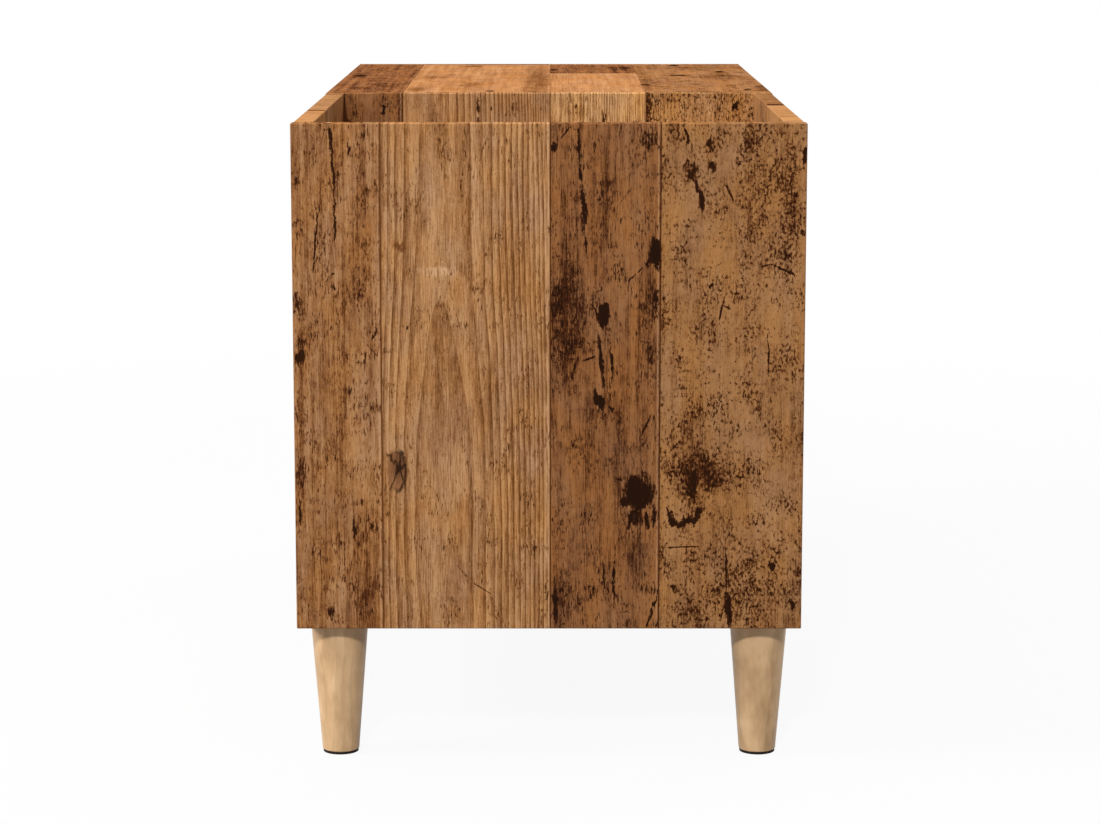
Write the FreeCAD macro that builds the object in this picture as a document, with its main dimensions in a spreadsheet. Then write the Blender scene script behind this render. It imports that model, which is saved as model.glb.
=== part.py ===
import FreeCAD, Part
import os
import re
import Sketcher

# Record cabinet in millimetres. +X points to the end with the open record bin, -Y to the open front of
# the bay, +Z up. The origin is on the floor under the middle of the cabinet.

SIZES = {
    # The body: flat boards, standing on legs
    "cabinet_length": 850,
    "cabinet_depth": 380,
    "body_height": 380,
    "board": 15,
    "bin_length": 350,           # clear length of the record bin
    "setback": 1,                # bin walls and bottom panel lie this far inside the cabinet's long sides
    "edge_round": 0.8,
    # Back panel of the bay, in grooves
    "back_board": 3,
    "back_setback": 13,          # from the cabinet's back side to the back panel's outer face
    "groove_depth": 5,
    "groove_play": 0.2,
    # Legs
    "leg_length": 102,
    "leg_top_radius": 22,
    "leg_foot_radius": 14,
    "leg_foot_round": 1,
    "leg_to_side": 30,           # from the leg's axis to the cabinet's long side
    "leg_to_end": 35,            # from the leg's axis to the cabinet's end
    "pad_radius": 13.5,
    "pad_thickness": 2,
    "pad_round": 0.4,
    # Hanger bolts and insert nuts that hold the legs
    "bolt_radius": 4,
    "bolt_in_insert": 11,
    "bolt_in_leg": 27,
    "bolt_point": 5,
    "bolt_chamfer": 1,
    "insert_radius": 6,
    "insert_length": 12.5,
    "collar_radius": 8,
    "collar_thickness": 1.2,
    # Dowels
    "dowel_radius": 4,
    "dowel_length": 30,
    "dowel_in_face": 10,         # the rest of a dowel is in the other board's edge
    "dowel_chamfer": 1,
    # Cam locks, sunk in a board's face
    "cam_radius": 7.5,
    "cam_thickness": 11.8,
    "cam_reach": 34,             # from the joint to the cam's axis
    "cross_length": 7.5,
    "cross_width": 1.5,
    "cross_depth": 2.4,
    # Cam bolts
    "cam_thread_radius": 3,
    "cam_thread_length": 11,
    "cam_collar_radius": 3.8,
    "cam_collar_thickness": 1,
    "cam_shank_radius": 2.8,
    "cam_neck_radius": 2,
    "cam_head_radius": 3.3,
    "cam_head_length": 4,
    "cam_bolt_chamfer": 0.8,
    # Board screws
    "screw_radius": 3.5,
    "screw_length": 50,
    "screw_point": 5,
    "screw_head_radius": 5,
    "socket_radius": 2.3,
    "socket_depth": 2.5,
    # Clearances
    "play": 0.1,                 # round a piece in its hole
    "end_play": 0.4,             # past the end of a piece in a blind hole
    # Places of the fittings
    "fitting_to_side": 80,       # cam locks and board screws, from the cabinet's long sides
    "dowel_to_side": 50,
    "wall_fitting_to_end": 60,   # cam locks in the bin walls, from their upper and lower edges
    "wall_dowel_to_end": 100,
    "foot_dowel_to_end": 75,     # dowels under the bin walls, from the walls' ends
}

# Heights and lengths that several pieces share, in words that the sheet works out
STAND = "(pad_thickness + leg_length)"
BOTTOM_TOP = f"({STAND} + board)"
BODY_TOP = f"({STAND} + body_height)"
WALL_HEIGHT = "(body_height - board)"
END_FACE = "(cabinet_length / 2 - board)"
BIN_FACE = f"({END_FACE} - bin_length)"
BAY_FACE = f"({BIN_FACE} - board)"
BIN_MIDDLE = f"({END_FACE} - bin_length / 2)"
BAY_LENGTH = f"({END_FACE} + {BAY_FACE})"
BAY_MIDDLE = f"(({BAY_FACE} - {END_FACE}) / 2)"
BAY_HEIGHT = "(body_height - 2 * board)"
WALL_INSIDE = "(cabinet_depth / 2 - setback - board)"
WALL_MIDDLE = "(cabinet_depth / 2 - setback - board / 2)"
BACK_INSIDE = "(cabinet_depth / 2 - back_setback - back_board)"
LEG_X = "(cabinet_length / 2 - leg_to_end)"
LEG_Y = "(cabinet_depth / 2 - leg_to_side)"
HALF_BOARD = "(board / 2)"
DOWEL_IN_EDGE = "(dowel_length - dowel_in_face)"
CAM_CHAMBER = "(sqrt(cam_head_radius ^ 2 + (cam_head_length / 2) ^ 2) + play)"

# Places along a joint: across the cabinet, up a bin wall, and along a bin wall's foot
FITTING_Y = "(cabinet_depth / 2 - fitting_to_side)"
DOWEL_Y = "(cabinet_depth / 2 - dowel_to_side)"
FITTINGS_ACROSS = [f"-{FITTING_Y}", FITTING_Y]
DOWELS_ACROSS = [f"-{DOWEL_Y}", "0", DOWEL_Y]
FITTINGS_UP = ["wall_fitting_to_end", f"({WALL_HEIGHT} - wall_fitting_to_end)"]
DOWELS_UP = ["wall_dowel_to_end", f"({WALL_HEIGHT} - wall_dowel_to_end)"]
FOOT_DOWEL = "(bin_length / 2 - foot_dowel_to_end)"
DOWELS_ALONG = [f"-{FOOT_DOWEL}", FOOT_DOWEL]

BOTTOM_JOINT_Z = f"({STAND} + {HALF_BOARD})"
TOP_JOINT_Z = f"({BODY_TOP} - {HALF_BOARD})"
WALLS_ACROSS = [f"-{WALL_MIDDLE}", WALL_MIDDLE]

FULL_TURN = 360
RIGHT_ANGLE = 90

NORMALS = {"XY_Plane": "+Z", "XZ_Plane": "-Y", "YZ_Plane": "+X"}
DIRECTIONS = {
    "+X": FreeCAD.Vector(1, 0, 0),
    "-X": FreeCAD.Vector(-1, 0, 0),
    "+Y": FreeCAD.Vector(0, 1, 0),
    "-Y": FreeCAD.Vector(0, -1, 0),
    "+Z": FreeCAD.Vector(0, 0, 1),
    "-Z": FreeCAD.Vector(0, 0, -1),
}

doc = FreeCAD.newDocument("record_cabinet")
sheet = doc.addObject("Spreadsheet::Sheet", "Sizes")
for row, (name, value) in enumerate(SIZES.items(), start=1):
    sheet.set(f"A{row}", name)
    sheet.set(f"B{row}", str(value))
    sheet.setAlias(f"B{row}", name)
doc.recompute()

nodes = []
cuts = []


def formula(words):
    """The same sum with each name read from the sheet. A word before a bracket is a function."""
    return re.sub(r"\b[a-z_]+\b(?!\()", lambda name: "Sizes." + name.group(), words)


def bind(thing, path, words):
    thing.setExpression(path, formula(words))


def amount(words):
    return float(sheet.evalExpression(formula(words)))


def place(thing, x, y, z):
    bind(thing, "Placement.Base.x", x)
    bind(thing, "Placement.Base.y", y)
    bind(thing, "Placement.Base.z", z)


def new_body(label):
    body = doc.addObject("PartDesign::Body", label)
    body.Label = label
    return body


def keep(piece, solids=1):
    """Mark a piece to be written to its own file."""
    nodes.append((piece, solids))


# Sketches. In a constraint, point 1 is a line's start, 2 its end and 3 a circle's centre. Geometry -1 is
# the axis across, whose point 1 is the sketch's origin, and geometry -2 is the axis up.

def new_sketch(body, name, plane, offset="0"):
    sketch = body.newObject("Sketcher::SketchObject", name)
    support = next(item for item in body.Origin.OriginFeatures if item.Role == plane)
    sketch.AttachmentSupport = [(support, "")]
    sketch.MapMode = "FlatFace"
    bind(sketch, "AttachmentOffset.Base.z", offset)
    return sketch


def fix_point(sketch, geometry, point, across, up):
    """Tie one point of a line or circle to the sketch's origin."""
    for kind, words, axis in (("DistanceX", across, -2), ("DistanceY", up, -1)):
        if words == "0":
            sketch.addConstraint(Sketcher.Constraint("PointOnObject", geometry, point, axis))
            continue
        distance = Sketcher.Constraint(kind, -1, 1, geometry, point, amount(words))
        index = sketch.addConstraint(distance)
        bind(sketch, f"Constraints[{index}]", words)


def draw_outline(sketch, corners):
    points = [FreeCAD.Vector(amount(across), amount(up), 0) for across, up in corners]
    for start, end in zip(points, points[1:] + points[:1]):
        sketch.addGeometry(Part.LineSegment(start, end))
    for line in range(len(points)):
        following = (line + 1) % len(points)
        sketch.addConstraint(Sketcher.Constraint("Coincident", line, 2, following, 1))
        fix_point(sketch, line, 1, *corners[line])


def draw_circles(sketch, centres, radius):
    for across, up in centres:
        centre = FreeCAD.Vector(amount(across), amount(up), 0)
        circle = sketch.addGeometry(Part.Circle(centre, DIRECTIONS["+Z"], amount(radius)))
        fix_point(sketch, circle, 3, across, up)
        index = sketch.addConstraint(Sketcher.Constraint("Radius", circle, amount(radius)))
        bind(sketch, f"Constraints[{index}]", radius)


def rectangle(left, bottom, right, top):
    return [(left, bottom), (right, bottom), (right, top), (left, top)]


# Features

def extrude(body, name, plane, into, thickness, corners):
    sketch = new_sketch(body, name + "_outline", plane)
    draw_outline(sketch, corners)
    pad = body.newObject("PartDesign::Pad", name)
    pad.Profile = sketch
    bind(pad, "Length", thickness)
    pad.Reversed = into != NORMALS[plane]
    doc.recompute()
    return pad


def round_all_edges(body, name, base, radius):
    fillet = body.newObject("PartDesign::Fillet", name)
    fillet.Base = (base, [""])
    fillet.UseAllEdges = True
    bind(fillet, "Radius", radius)
    doc.recompute()


def pocket(body, sketch, name, plane, into, depth):
    cut = body.newObject("PartDesign::Pocket", name)
    cut.Profile = sketch
    bind(cut, "Length", depth)
    cut.Reversed = into == NORMALS[plane]
    cuts.append(cut)


def drill(body, name, plane, offset, into, centres, radius, depth):
    sketch = new_sketch(body, name + "_centres", plane, offset)
    draw_circles(sketch, centres, radius)
    pocket(body, sketch, name, plane, into, depth)


def mill(body, name, plane, offset, into, corners, depth):
    sketch = new_sketch(body, name + "_outline", plane, offset)
    draw_outline(sketch, corners)
    pocket(body, sketch, name, plane, into, depth)


def turned_body(label, profile):
    """A piece turned about its own Z axis, from (radius, height) points."""
    body = new_body(label)
    sketch = new_sketch(body, label + "_profile", "XZ_Plane")
    draw_outline(sketch, profile)
    turning = body.newObject("PartDesign::Revolution", label + "_turning")
    turning.Profile = sketch
    turning.ReferenceAxis = (sketch, ["V_Axis"])
    turning.Angle = FULL_TURN
    doc.recompute()
    return body


# Holes and grooves that several boards share

def dowel_holes_in_face(body, name, plane, offset, into, centres):
    drill(body, name, plane, offset, into, centres, "dowel_radius + play", "dowel_in_face + end_play")


def dowel_holes_in_edge(body, name, plane, offset, into, centres):
    drill(body, name, plane, offset, into, centres, "dowel_radius + play", f"{DOWEL_IN_EDGE} + end_play")


def cam_bolt_holes_in_face(body, name, offset, into, centres):
    depth = "cam_thread_length + end_play"
    drill(body, name, "YZ_Plane", offset, into, centres, "cam_thread_radius + play", depth)


def cam_bores(body, name, plane, into, centres):
    drill(body, name, plane, "0", into, centres, "cam_radius + play", "cam_thickness + end_play")


def cam_bolt_bores_in_ends(body, half_length, centres):
    """Bores for the cam bolts in both ends of a board, each as far as its cam lock."""
    radius = "cam_collar_radius + play"
    drill(body, "near_end_bores", "YZ_Plane", half_length, "-X", centres, radius, "cam_reach")
    drill(body, "far_end_bores", "YZ_Plane", f"-{half_length}", "+X", centres, radius, "cam_reach")


def dowel_holes_in_ends(body, half_length, centres):
    dowel_holes_in_edge(body, "near_end_dowel_holes", "YZ_Plane", half_length, "-X", centres)
    dowel_holes_in_edge(body, "far_end_dowel_holes", "YZ_Plane", f"-{half_length}", "+X", centres)


def back_groove_span():
    """From the inner to the outer side of the groove that holds the back panel, across the cabinet."""
    return f"({BACK_INSIDE} - groove_play)", f"({BACK_INSIDE} + back_board + groove_play)"


def flat_board(label, plane, into, corners):
    body = new_body(label)
    slab = extrude(body, "slab", plane, into, "board", corners)
    round_all_edges(body, "eased_edges", slab, "edge_round")
    return body


# Boards

def end_panel(label, into):
    """An end panel with its inner face on its own YZ plane, and the holes for the bottom panel."""
    half_depth = "(cabinet_depth / 2)"
    corners = rectangle(f"-{half_depth}", "0", half_depth, "body_height")
    panel = flat_board(label, "YZ_Plane", into, corners)
    bolts = [(y, HALF_BOARD) for y in FITTINGS_ACROSS]
    dowels = [(y, HALF_BOARD) for y in DOWELS_ACROSS]
    cam_bolt_holes_in_face(panel, "bottom_bolt_holes", "0", into, bolts)
    dowel_holes_in_face(panel, "bottom_dowel_holes", "YZ_Plane", "0", into, dowels)
    return panel


def bin_wall_holes(panel, into, floor):
    """Holes for both bin walls in the face that the walls butt against."""
    bolts = [(y, f"{floor} + {z}") for y in WALLS_ACROSS for z in FITTINGS_UP]
    dowels = [(y, f"{floor} + {z}") for y in WALLS_ACROSS for z in DOWELS_UP]
    cam_bolt_holes_in_face(panel, "wall_bolt_holes", "0", into, bolts)
    dowel_holes_in_face(panel, "wall_dowel_holes", "YZ_Plane", "0", into, dowels)


def top_panel_holes(panel, offset, into, top):
    """Holes for the top panel, whose middle lies half a board below the given top."""
    bolts = [(y, f"{top} - {HALF_BOARD}") for y in FITTINGS_ACROSS]
    dowels = [(y, f"{top} - {HALF_BOARD}") for y in DOWELS_ACROSS]
    cam_bolt_holes_in_face(panel, "top_bolt_holes", offset, into, bolts)
    dowel_holes_in_face(panel, "top_dowel_holes", "YZ_Plane", offset, into, dowels)


def make_end_panel_bin():
    panel = end_panel("end_panel_bin", "+X")
    bin_wall_holes(panel, "+X", "board")
    place(panel, END_FACE, "0", STAND)
    keep(panel)


def make_end_panel_bay():
    panel = end_panel("end_panel_bay", "-X")
    top_panel_holes(panel, "0", "-X", "body_height")
    inner, outer = back_groove_span()
    low = "(board - groove_depth)"
    high = "(body_height - board + groove_depth)"
    mill(panel, "back_groove", "YZ_Plane", "0", "-X", rectangle(inner, low, outer, high), "groove_depth")
    place(panel, f"-{END_FACE}", "0", STAND)
    keep(panel)


def make_divider_panel():
    """The divider stands on the bottom panel, with its bin face on its own YZ plane."""
    half_depth = "(cabinet_depth / 2)"
    corners = rectangle(f"-{half_depth}", "0", half_depth, WALL_HEIGHT)
    panel = flat_board("divider_panel", "YZ_Plane", "-X", corners)
    bin_wall_holes(panel, "-X", "0")
    top_panel_holes(panel, "-board", "+X", WALL_HEIGHT)
    inner, outer = back_groove_span()
    groove = rectangle(inner, "0", outer, f"({BAY_HEIGHT} + groove_depth)")
    mill(panel, "back_groove", "YZ_Plane", "-board", "+X", groove, "groove_depth")
    dowels = [(f"-{HALF_BOARD}", y) for y in DOWELS_ACROSS]
    screws = [(f"-{HALF_BOARD}", y) for y in FITTINGS_ACROSS]
    dowel_holes_in_edge(panel, "foot_dowel_holes", "XY_Plane", "0", "+Z", dowels)
    depth = "screw_length - board + end_play"
    drill(panel, "screw_holes", "XY_Plane", "0", "+Z", screws, "screw_radius + play", depth)
    place(panel, BIN_FACE, "0", BOTTOM_TOP)
    keep(panel)


def countersunk_holes(body, name, centres):
    """Holes right through the bottom panel, countersunk from below for the board screws."""
    sketch = new_sketch(body, name + "_centres", "XY_Plane")
    draw_circles(sketch, centres, "screw_radius + play")
    doc.recompute()
    hole = body.newObject("PartDesign::Hole", name)
    hole.Profile = sketch
    doc.recompute()
    hole.DepthType = "ThroughAll"
    hole.Threaded = False
    hole.Reversed = True
    hole.HoleCutType = "Countersink"
    hole.HoleCutCustomValues = True
    hole.HoleCutCountersinkAngle = RIGHT_ANGLE
    bind(hole, "Diameter", "2 * (screw_radius + play)")
    bind(hole, "HoleCutDiameter", "2 * (screw_head_radius + play)")
    cuts.append(hole)


def make_bottom_panel():
    """The bottom panel lies between the end panels, with its underside on its own XY plane."""
    half_width = "(cabinet_depth / 2 - setback)"
    corners = rectangle(f"-{END_FACE}", f"-{half_width}", END_FACE, half_width)
    panel = flat_board("bottom_panel", "XY_Plane", "+Z", corners)
    cam_x = f"({END_FACE} - cam_reach)"
    cams = [(x, y) for x in (f"-{cam_x}", cam_x) for y in FITTINGS_ACROSS]
    cam_bores(panel, "cam_bores", "XY_Plane", "+Z", cams)
    cam_bolt_bores_in_ends(panel, END_FACE, [(y, HALF_BOARD) for y in FITTINGS_ACROSS])
    dowel_holes_in_ends(panel, END_FACE, [(y, HALF_BOARD) for y in DOWELS_ACROSS])
    legs = [(x, y) for x in (f"-{LEG_X}", LEG_X) for y in (f"-{LEG_Y}", LEG_Y)]
    insert_depth = "insert_length + end_play"
    drill(panel, "insert_holes", "XY_Plane", "0", "+Z", legs, "insert_radius + play", insert_depth)
    drill(panel, "collar_recesses", "XY_Plane", "0", "+Z", legs, "collar_radius + play", "collar_thickness")
    divider_x = f"({BIN_FACE} - {HALF_BOARD})"
    dowels = [(divider_x, y) for y in DOWELS_ACROSS]
    dowels += [(f"{BIN_MIDDLE} + {x}", y) for x in DOWELS_ALONG for y in WALLS_ACROSS]
    dowel_holes_in_face(panel, "top_dowel_holes", "XY_Plane", "board", "-Z", dowels)
    inner, outer = back_groove_span()
    groove = rectangle(f"-{END_FACE}", inner, f"({BAY_FACE} + groove_depth)", outer)
    mill(panel, "back_groove", "XY_Plane", "board", "-Z", groove, "groove_depth")
    countersunk_holes(panel, "screw_holes", [(divider_x, y) for y in FITTINGS_ACROSS])
    place(panel, "0", "0", STAND)
    keep(panel)


def make_top_panel():
    """The top panel lies between the divider and the far end panel, with its underside on its XY plane."""
    half_length = f"({BAY_LENGTH} / 2)"
    half_depth = "(cabinet_depth / 2)"
    corners = rectangle(f"-{half_length}", f"-{half_depth}", half_length, half_depth)
    panel = flat_board("top_panel", "XY_Plane", "+Z", corners)
    cam_x = f"({half_length} - cam_reach)"
    cams = [(x, y) for x in (f"-{cam_x}", cam_x) for y in FITTINGS_ACROSS]
    cam_bores(panel, "cam_bores", "XY_Plane", "+Z", cams)
    cam_bolt_bores_in_ends(panel, half_length, [(y, HALF_BOARD) for y in FITTINGS_ACROSS])
    dowel_holes_in_ends(panel, half_length, [(y, HALF_BOARD) for y in DOWELS_ACROSS])
    inner, outer = back_groove_span()
    groove = rectangle(f"-{half_length}", inner, half_length, outer)
    mill(panel, "back_groove", "XY_Plane", "0", "+Z", groove, "groove_depth")
    place(panel, BAY_MIDDLE, "0", f"{BODY_TOP} - board")
    keep(panel)


def make_bin_wall(label, into, side):
    """A long wall of the bin, with its inner face on its own XZ plane. side is its sign across."""
    half_length = "(bin_length / 2)"
    corners = rectangle(f"-{half_length}", "0", half_length, WALL_HEIGHT)
    panel = flat_board(label, "XZ_Plane", into, corners)
    cam_x = f"({half_length} - cam_reach)"
    cams = [(x, z) for x in (f"-{cam_x}", cam_x) for z in FITTINGS_UP]
    cam_bores(panel, "cam_bores", "XZ_Plane", into, cams)
    middle = f"{side}{HALF_BOARD}"
    cam_bolt_bores_in_ends(panel, half_length, [(middle, z) for z in FITTINGS_UP])
    dowel_holes_in_ends(panel, half_length, [(middle, z) for z in DOWELS_UP])
    feet = [(x, middle) for x in DOWELS_ALONG]
    dowel_holes_in_edge(panel, "foot_dowel_holes", "XY_Plane", "0", "+Z", feet)
    place(panel, BIN_MIDDLE, f"{side}{WALL_INSIDE}", BOTTOM_TOP)
    keep(panel)


def make_bay_back_panel():
    """A thin back panel that stands in the bottom panel's groove and runs in three others."""
    panel = new_body("bay_back_panel")
    half_length = f"({BAY_LENGTH} / 2 + groove_depth - groove_play)"
    height = f"({BAY_HEIGHT} + 2 * groove_depth - groove_play)"
    corners = rectangle(f"-{half_length}", "0", half_length, height)
    extrude(panel, "sheet", "XZ_Plane", "+Y", "back_board", corners)
    place(panel, BAY_MIDDLE, BACK_INSIDE, f"{BOTTOM_TOP} - groove_depth")
    keep(panel)


# Legs and what holds them

def make_leg(corner, x, y):
    profile = [("0", "0"), ("leg_foot_radius", "0"), ("leg_top_radius", "leg_length"), ("0", "leg_length")]
    leg = turned_body(f"leg_{corner}", profile)
    cone = leg.Tip
    half_way = amount("leg_length / 2")
    foot_edges = []
    for number, edge in enumerate(cone.Shape.Edges, start=1):
        if edge.BoundBox.ZMax < half_way:
            foot_edges.append(f"Edge{number}")
    rounding = leg.newObject("PartDesign::Fillet", "foot_round")
    rounding.Base = (cone, foot_edges)
    bind(rounding, "Radius", "leg_foot_round")
    doc.recompute()
    depth = "bolt_in_leg + end_play"
    axis = [("0", "0")]
    drill(leg, "bolt_hole", "XY_Plane", "leg_length", "-Z", axis, "bolt_radius + play", depth)
    place(leg, x, y, "pad_thickness")
    keep(leg)


def make_foot_pad(corner, x, y):
    profile = [("0", "0"), ("pad_radius", "0"), ("pad_radius", "pad_thickness"), ("0", "pad_thickness")]
    pad = turned_body(f"foot_pad_{corner}", profile)
    round_all_edges(pad, "pad_edge", pad.Tip, "pad_round")
    place(pad, x, y, "0")
    keep(pad)


def make_hanger_bolt(corner, x, y):
    """Wood screw below, machine thread above. The threads are plain, at their outer radius."""
    profile = [
        ("0", "-bolt_in_leg"),
        ("bolt_radius", "bolt_point - bolt_in_leg"),
        ("bolt_radius", "bolt_in_insert - bolt_chamfer"),
        ("bolt_radius - bolt_chamfer", "bolt_in_insert"),
        ("0", "bolt_in_insert"),
    ]
    bolt = turned_body(f"hanger_bolt_{corner}", profile)
    place(bolt, x, y, STAND)
    keep(bolt)


def make_insert_nut(corner, x, y):
    bore = "bolt_radius + play"
    profile = [
        (bore, "0"),
        ("collar_radius", "0"),
        ("collar_radius", "collar_thickness"),
        ("insert_radius", "collar_thickness"),
        ("insert_radius", "insert_length"),
        (bore, "insert_length"),
    ]
    nut = turned_body(f"insert_nut_{corner}", profile)
    place(nut, x, y, STAND)
    keep(nut)


# Patterns of the fasteners, each drawn once about its own axis and then linked to its places

def cam_lock_pattern():
    """Its open face is at Z 0 and looks along +Z. The cam bolt comes in along its X axis."""
    lock = new_body("cam_lock")
    disc = new_sketch(lock, "disc_outline", "XY_Plane")
    draw_circles(disc, [("0", "0")], "cam_radius")
    pad = lock.newObject("PartDesign::Pad", "disc")
    pad.Profile = disc
    pad.Reversed = True
    bind(pad, "Length", "cam_thickness")
    doc.recompute()
    under = "-cam_thickness"
    lid = f"({HALF_BOARD} - cam_head_radius - play)"
    depth = f"cam_thickness - {lid}"
    drill(lock, "head_chamber", "XY_Plane", under, "+Z", [("0", "0")], CAM_CHAMBER, depth)
    half_neck = "(cam_neck_radius + play)"
    half_mouth = "(cam_head_radius + play)"
    neck = rectangle("0", f"-{half_neck}", "cam_radius + play", half_neck)
    mill(lock, "neck_gap", "XY_Plane", under, "+Z", neck, depth)
    mouth = rectangle("-cam_radius - play", f"-{half_mouth}", "0", half_mouth)
    mill(lock, "mouth", "XY_Plane", under, "+Z", mouth, depth)
    half_long = "cross_length / 2"
    half_wide = "cross_width / 2"
    bar = rectangle(f"-{half_long}", f"-{half_wide}", half_long, half_wide)
    cross_bar = rectangle(f"-{half_wide}", f"-{half_long}", half_wide, half_long)
    mill(lock, "cross_slot", "XY_Plane", "0", "-Z", bar, "cross_depth")
    mill(lock, "second_slot", "XY_Plane", "0", "-Z", cross_bar, "cross_depth")
    return lock


def cam_bolt_pattern():
    """Its collar lies on the joint at Z 0, its thread below, and its head at the cam lock's axis."""
    head_start = "(cam_reach - cam_head_length / 2)"
    head_end = "(cam_reach + cam_head_length / 2)"
    neck_start = "(cam_reach - cam_radius - play)"
    profile = [
        ("0", "-cam_thread_length"),
        ("cam_thread_radius - cam_bolt_chamfer", "-cam_thread_length"),
        ("cam_thread_radius", "cam_bolt_chamfer - cam_thread_length"),
        ("cam_thread_radius", "0"),
        ("cam_collar_radius", "0"),
        ("cam_collar_radius", "cam_collar_thickness"),
        ("cam_shank_radius", "cam_collar_thickness"),
        ("cam_shank_radius", neck_start),
        ("cam_neck_radius", neck_start),
        ("cam_neck_radius", head_start),
        ("cam_head_radius", f"{head_start} + cam_bolt_chamfer"),
        ("cam_head_radius", f"{head_end} - cam_bolt_chamfer"),
        ("cam_head_radius - cam_bolt_chamfer", head_end),
        ("0", head_end),
    ]
    return turned_body("cam_bolt", profile)


def dowel_pattern():
    """The joint is at Z 0, with the longer part above it."""
    profile = [
        ("0", "-dowel_in_face"),
        ("dowel_radius - dowel_chamfer", "-dowel_in_face"),
        ("dowel_radius", "dowel_chamfer - dowel_in_face"),
        ("dowel_radius", f"{DOWEL_IN_EDGE} - dowel_chamfer"),
        ("dowel_radius - dowel_chamfer", DOWEL_IN_EDGE),
        ("0", DOWEL_IN_EDGE),
    ]
    return turned_body("dowel", profile)


def board_screw_pattern():
    """Its head is flush with Z 0 and its point above."""
    profile = [
        ("0", "0"),
        ("screw_head_radius", "0"),
        ("screw_radius", "screw_head_radius - screw_radius"),
        ("screw_radius", "screw_length - screw_point"),
        ("0", "screw_length"),
    ]
    screw = turned_body("board_screw", profile)
    drill(screw, "socket", "XY_Plane", "0", "+Z", [("0", "0")], "socket_radius", "socket_depth")
    return screw


def along(direction):
    return FreeCAD.Rotation(DIRECTIONS["+Z"], DIRECTIONS[direction])


def facing(outward, towards_joint):
    """Turn a cam lock so that its open face looks outward and its X axis points at the joint."""
    across = DIRECTIONS[outward].cross(DIRECTIONS[towards_joint])
    return FreeCAD.Rotation(DIRECTIONS[towards_joint], across, DIRECTIONS[outward], "ZXY")


def make_group(label, pattern, places):
    """One node of like fasteners: a link to the pattern at each place, kept as separate solids."""
    links = []
    for number, (x, y, z, rotation) in enumerate(places, start=1):
        link = doc.addObject("App::Link", f"{label}_{number}")
        link.LinkedObject = pattern
        link.Placement = FreeCAD.Placement(FreeCAD.Vector(), rotation)
        place(link, x, y, z)
        links.append(link)
    group = doc.addObject("Part::Compound", label)
    group.Label = label
    group.Links = links
    keep(group, len(places))


def make_cam_locks(pattern):
    end_cam = f"({END_FACE} - cam_reach)"
    for end, sign, outward in (("bin", "", "+X"), ("bay", "-", "-X")):
        turn = facing("-Z", outward)
        places = [(f"{sign}{end_cam}", y, STAND, turn) for y in FITTINGS_ACROSS]
        make_group(f"bottom_cam_locks_{end}", pattern, places)
    wall_cam = "(bin_length / 2 - cam_reach)"
    for side, sign, inward in (("front", "-", "+Y"), ("back", "", "-Y")):
        places = []
        for towards, shift in (("+X", "+"), ("-X", "-")):
            x = f"{BIN_MIDDLE} {shift} {wall_cam}"
            turn = facing(inward, towards)
            places += [(x, f"{sign}{WALL_INSIDE}", f"{BOTTOM_TOP} + {z}", turn) for z in FITTINGS_UP]
        make_group(f"bin_{side}_cam_locks", pattern, places)
    top_cam = f"({BAY_LENGTH} / 2 - cam_reach)"
    places = []
    for towards, shift in (("+X", "+"), ("-X", "-")):
        x = f"{BAY_MIDDLE} {shift} {top_cam}"
        places += [(x, y, f"{BODY_TOP} - board", facing("-Z", towards)) for y in FITTINGS_ACROSS]
    make_group("top_cam_locks", pattern, places)


def make_cam_bolts(pattern):
    to_bay = along("-X")
    to_bin = along("+X")
    places = [(END_FACE, y, BOTTOM_JOINT_Z, to_bay) for y in FITTINGS_ACROSS]
    places += [(END_FACE, y, f"{BOTTOM_TOP} + {z}", to_bay) for y in WALLS_ACROSS for z in FITTINGS_UP]
    make_group("end_panel_bin_cam_bolts", pattern, places)
    places = [(BIN_FACE, y, f"{BOTTOM_TOP} + {z}", to_bin) for y in WALLS_ACROSS for z in FITTINGS_UP]
    make_group("divider_bin_side_cam_bolts", pattern, places)
    places = [(BAY_FACE, y, TOP_JOINT_Z, to_bay) for y in FITTINGS_ACROSS]
    make_group("divider_bay_side_cam_bolts", pattern, places)
    places = [(f"-{END_FACE}", y, z, to_bin) for y in FITTINGS_ACROSS for z in (BOTTOM_JOINT_Z, TOP_JOINT_Z)]
    make_group("end_panel_bay_cam_bolts", pattern, places)


def make_dowels(pattern):
    to_bay = along("-X")
    to_bin = along("+X")
    upward = along("+Z")
    places = [(END_FACE, y, BOTTOM_JOINT_Z, to_bay) for y in DOWELS_ACROSS]
    make_group("bottom_dowels_bin", pattern, places)
    places = [(f"-{END_FACE}", y, BOTTOM_JOINT_Z, to_bin) for y in DOWELS_ACROSS]
    make_group("bottom_dowels_bay", pattern, places)
    places = [(f"{BIN_FACE} - {HALF_BOARD}", y, BOTTOM_TOP, upward) for y in DOWELS_ACROSS]
    make_group("divider_foot_dowels", pattern, places)
    for side, y in zip(("front", "back"), WALLS_ACROSS):
        places = [(f"{BIN_MIDDLE} + {x}", y, BOTTOM_TOP, upward) for x in DOWELS_ALONG]
        make_group(f"bin_{side}_foot_dowels", pattern, places)
        places = [(END_FACE, y, f"{BOTTOM_TOP} + {z}", to_bay) for z in DOWELS_UP]
        places += [(BIN_FACE, y, f"{BOTTOM_TOP} + {z}", to_bin) for z in DOWELS_UP]
        make_group(f"bin_{side}_end_dowels", pattern, places)
    places = [(BAY_FACE, y, TOP_JOINT_Z, to_bay) for y in DOWELS_ACROSS]
    places += [(f"-{END_FACE}", y, TOP_JOINT_Z, to_bin) for y in DOWELS_ACROSS]
    make_group("top_dowels", pattern, places)


def make_board_screws(pattern):
    upward = along("+Z")
    places = [(f"{BIN_FACE} - {HALF_BOARD}", y, STAND, upward) for y in FITTINGS_ACROSS]
    make_group("divider_screws", pattern, places)


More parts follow.
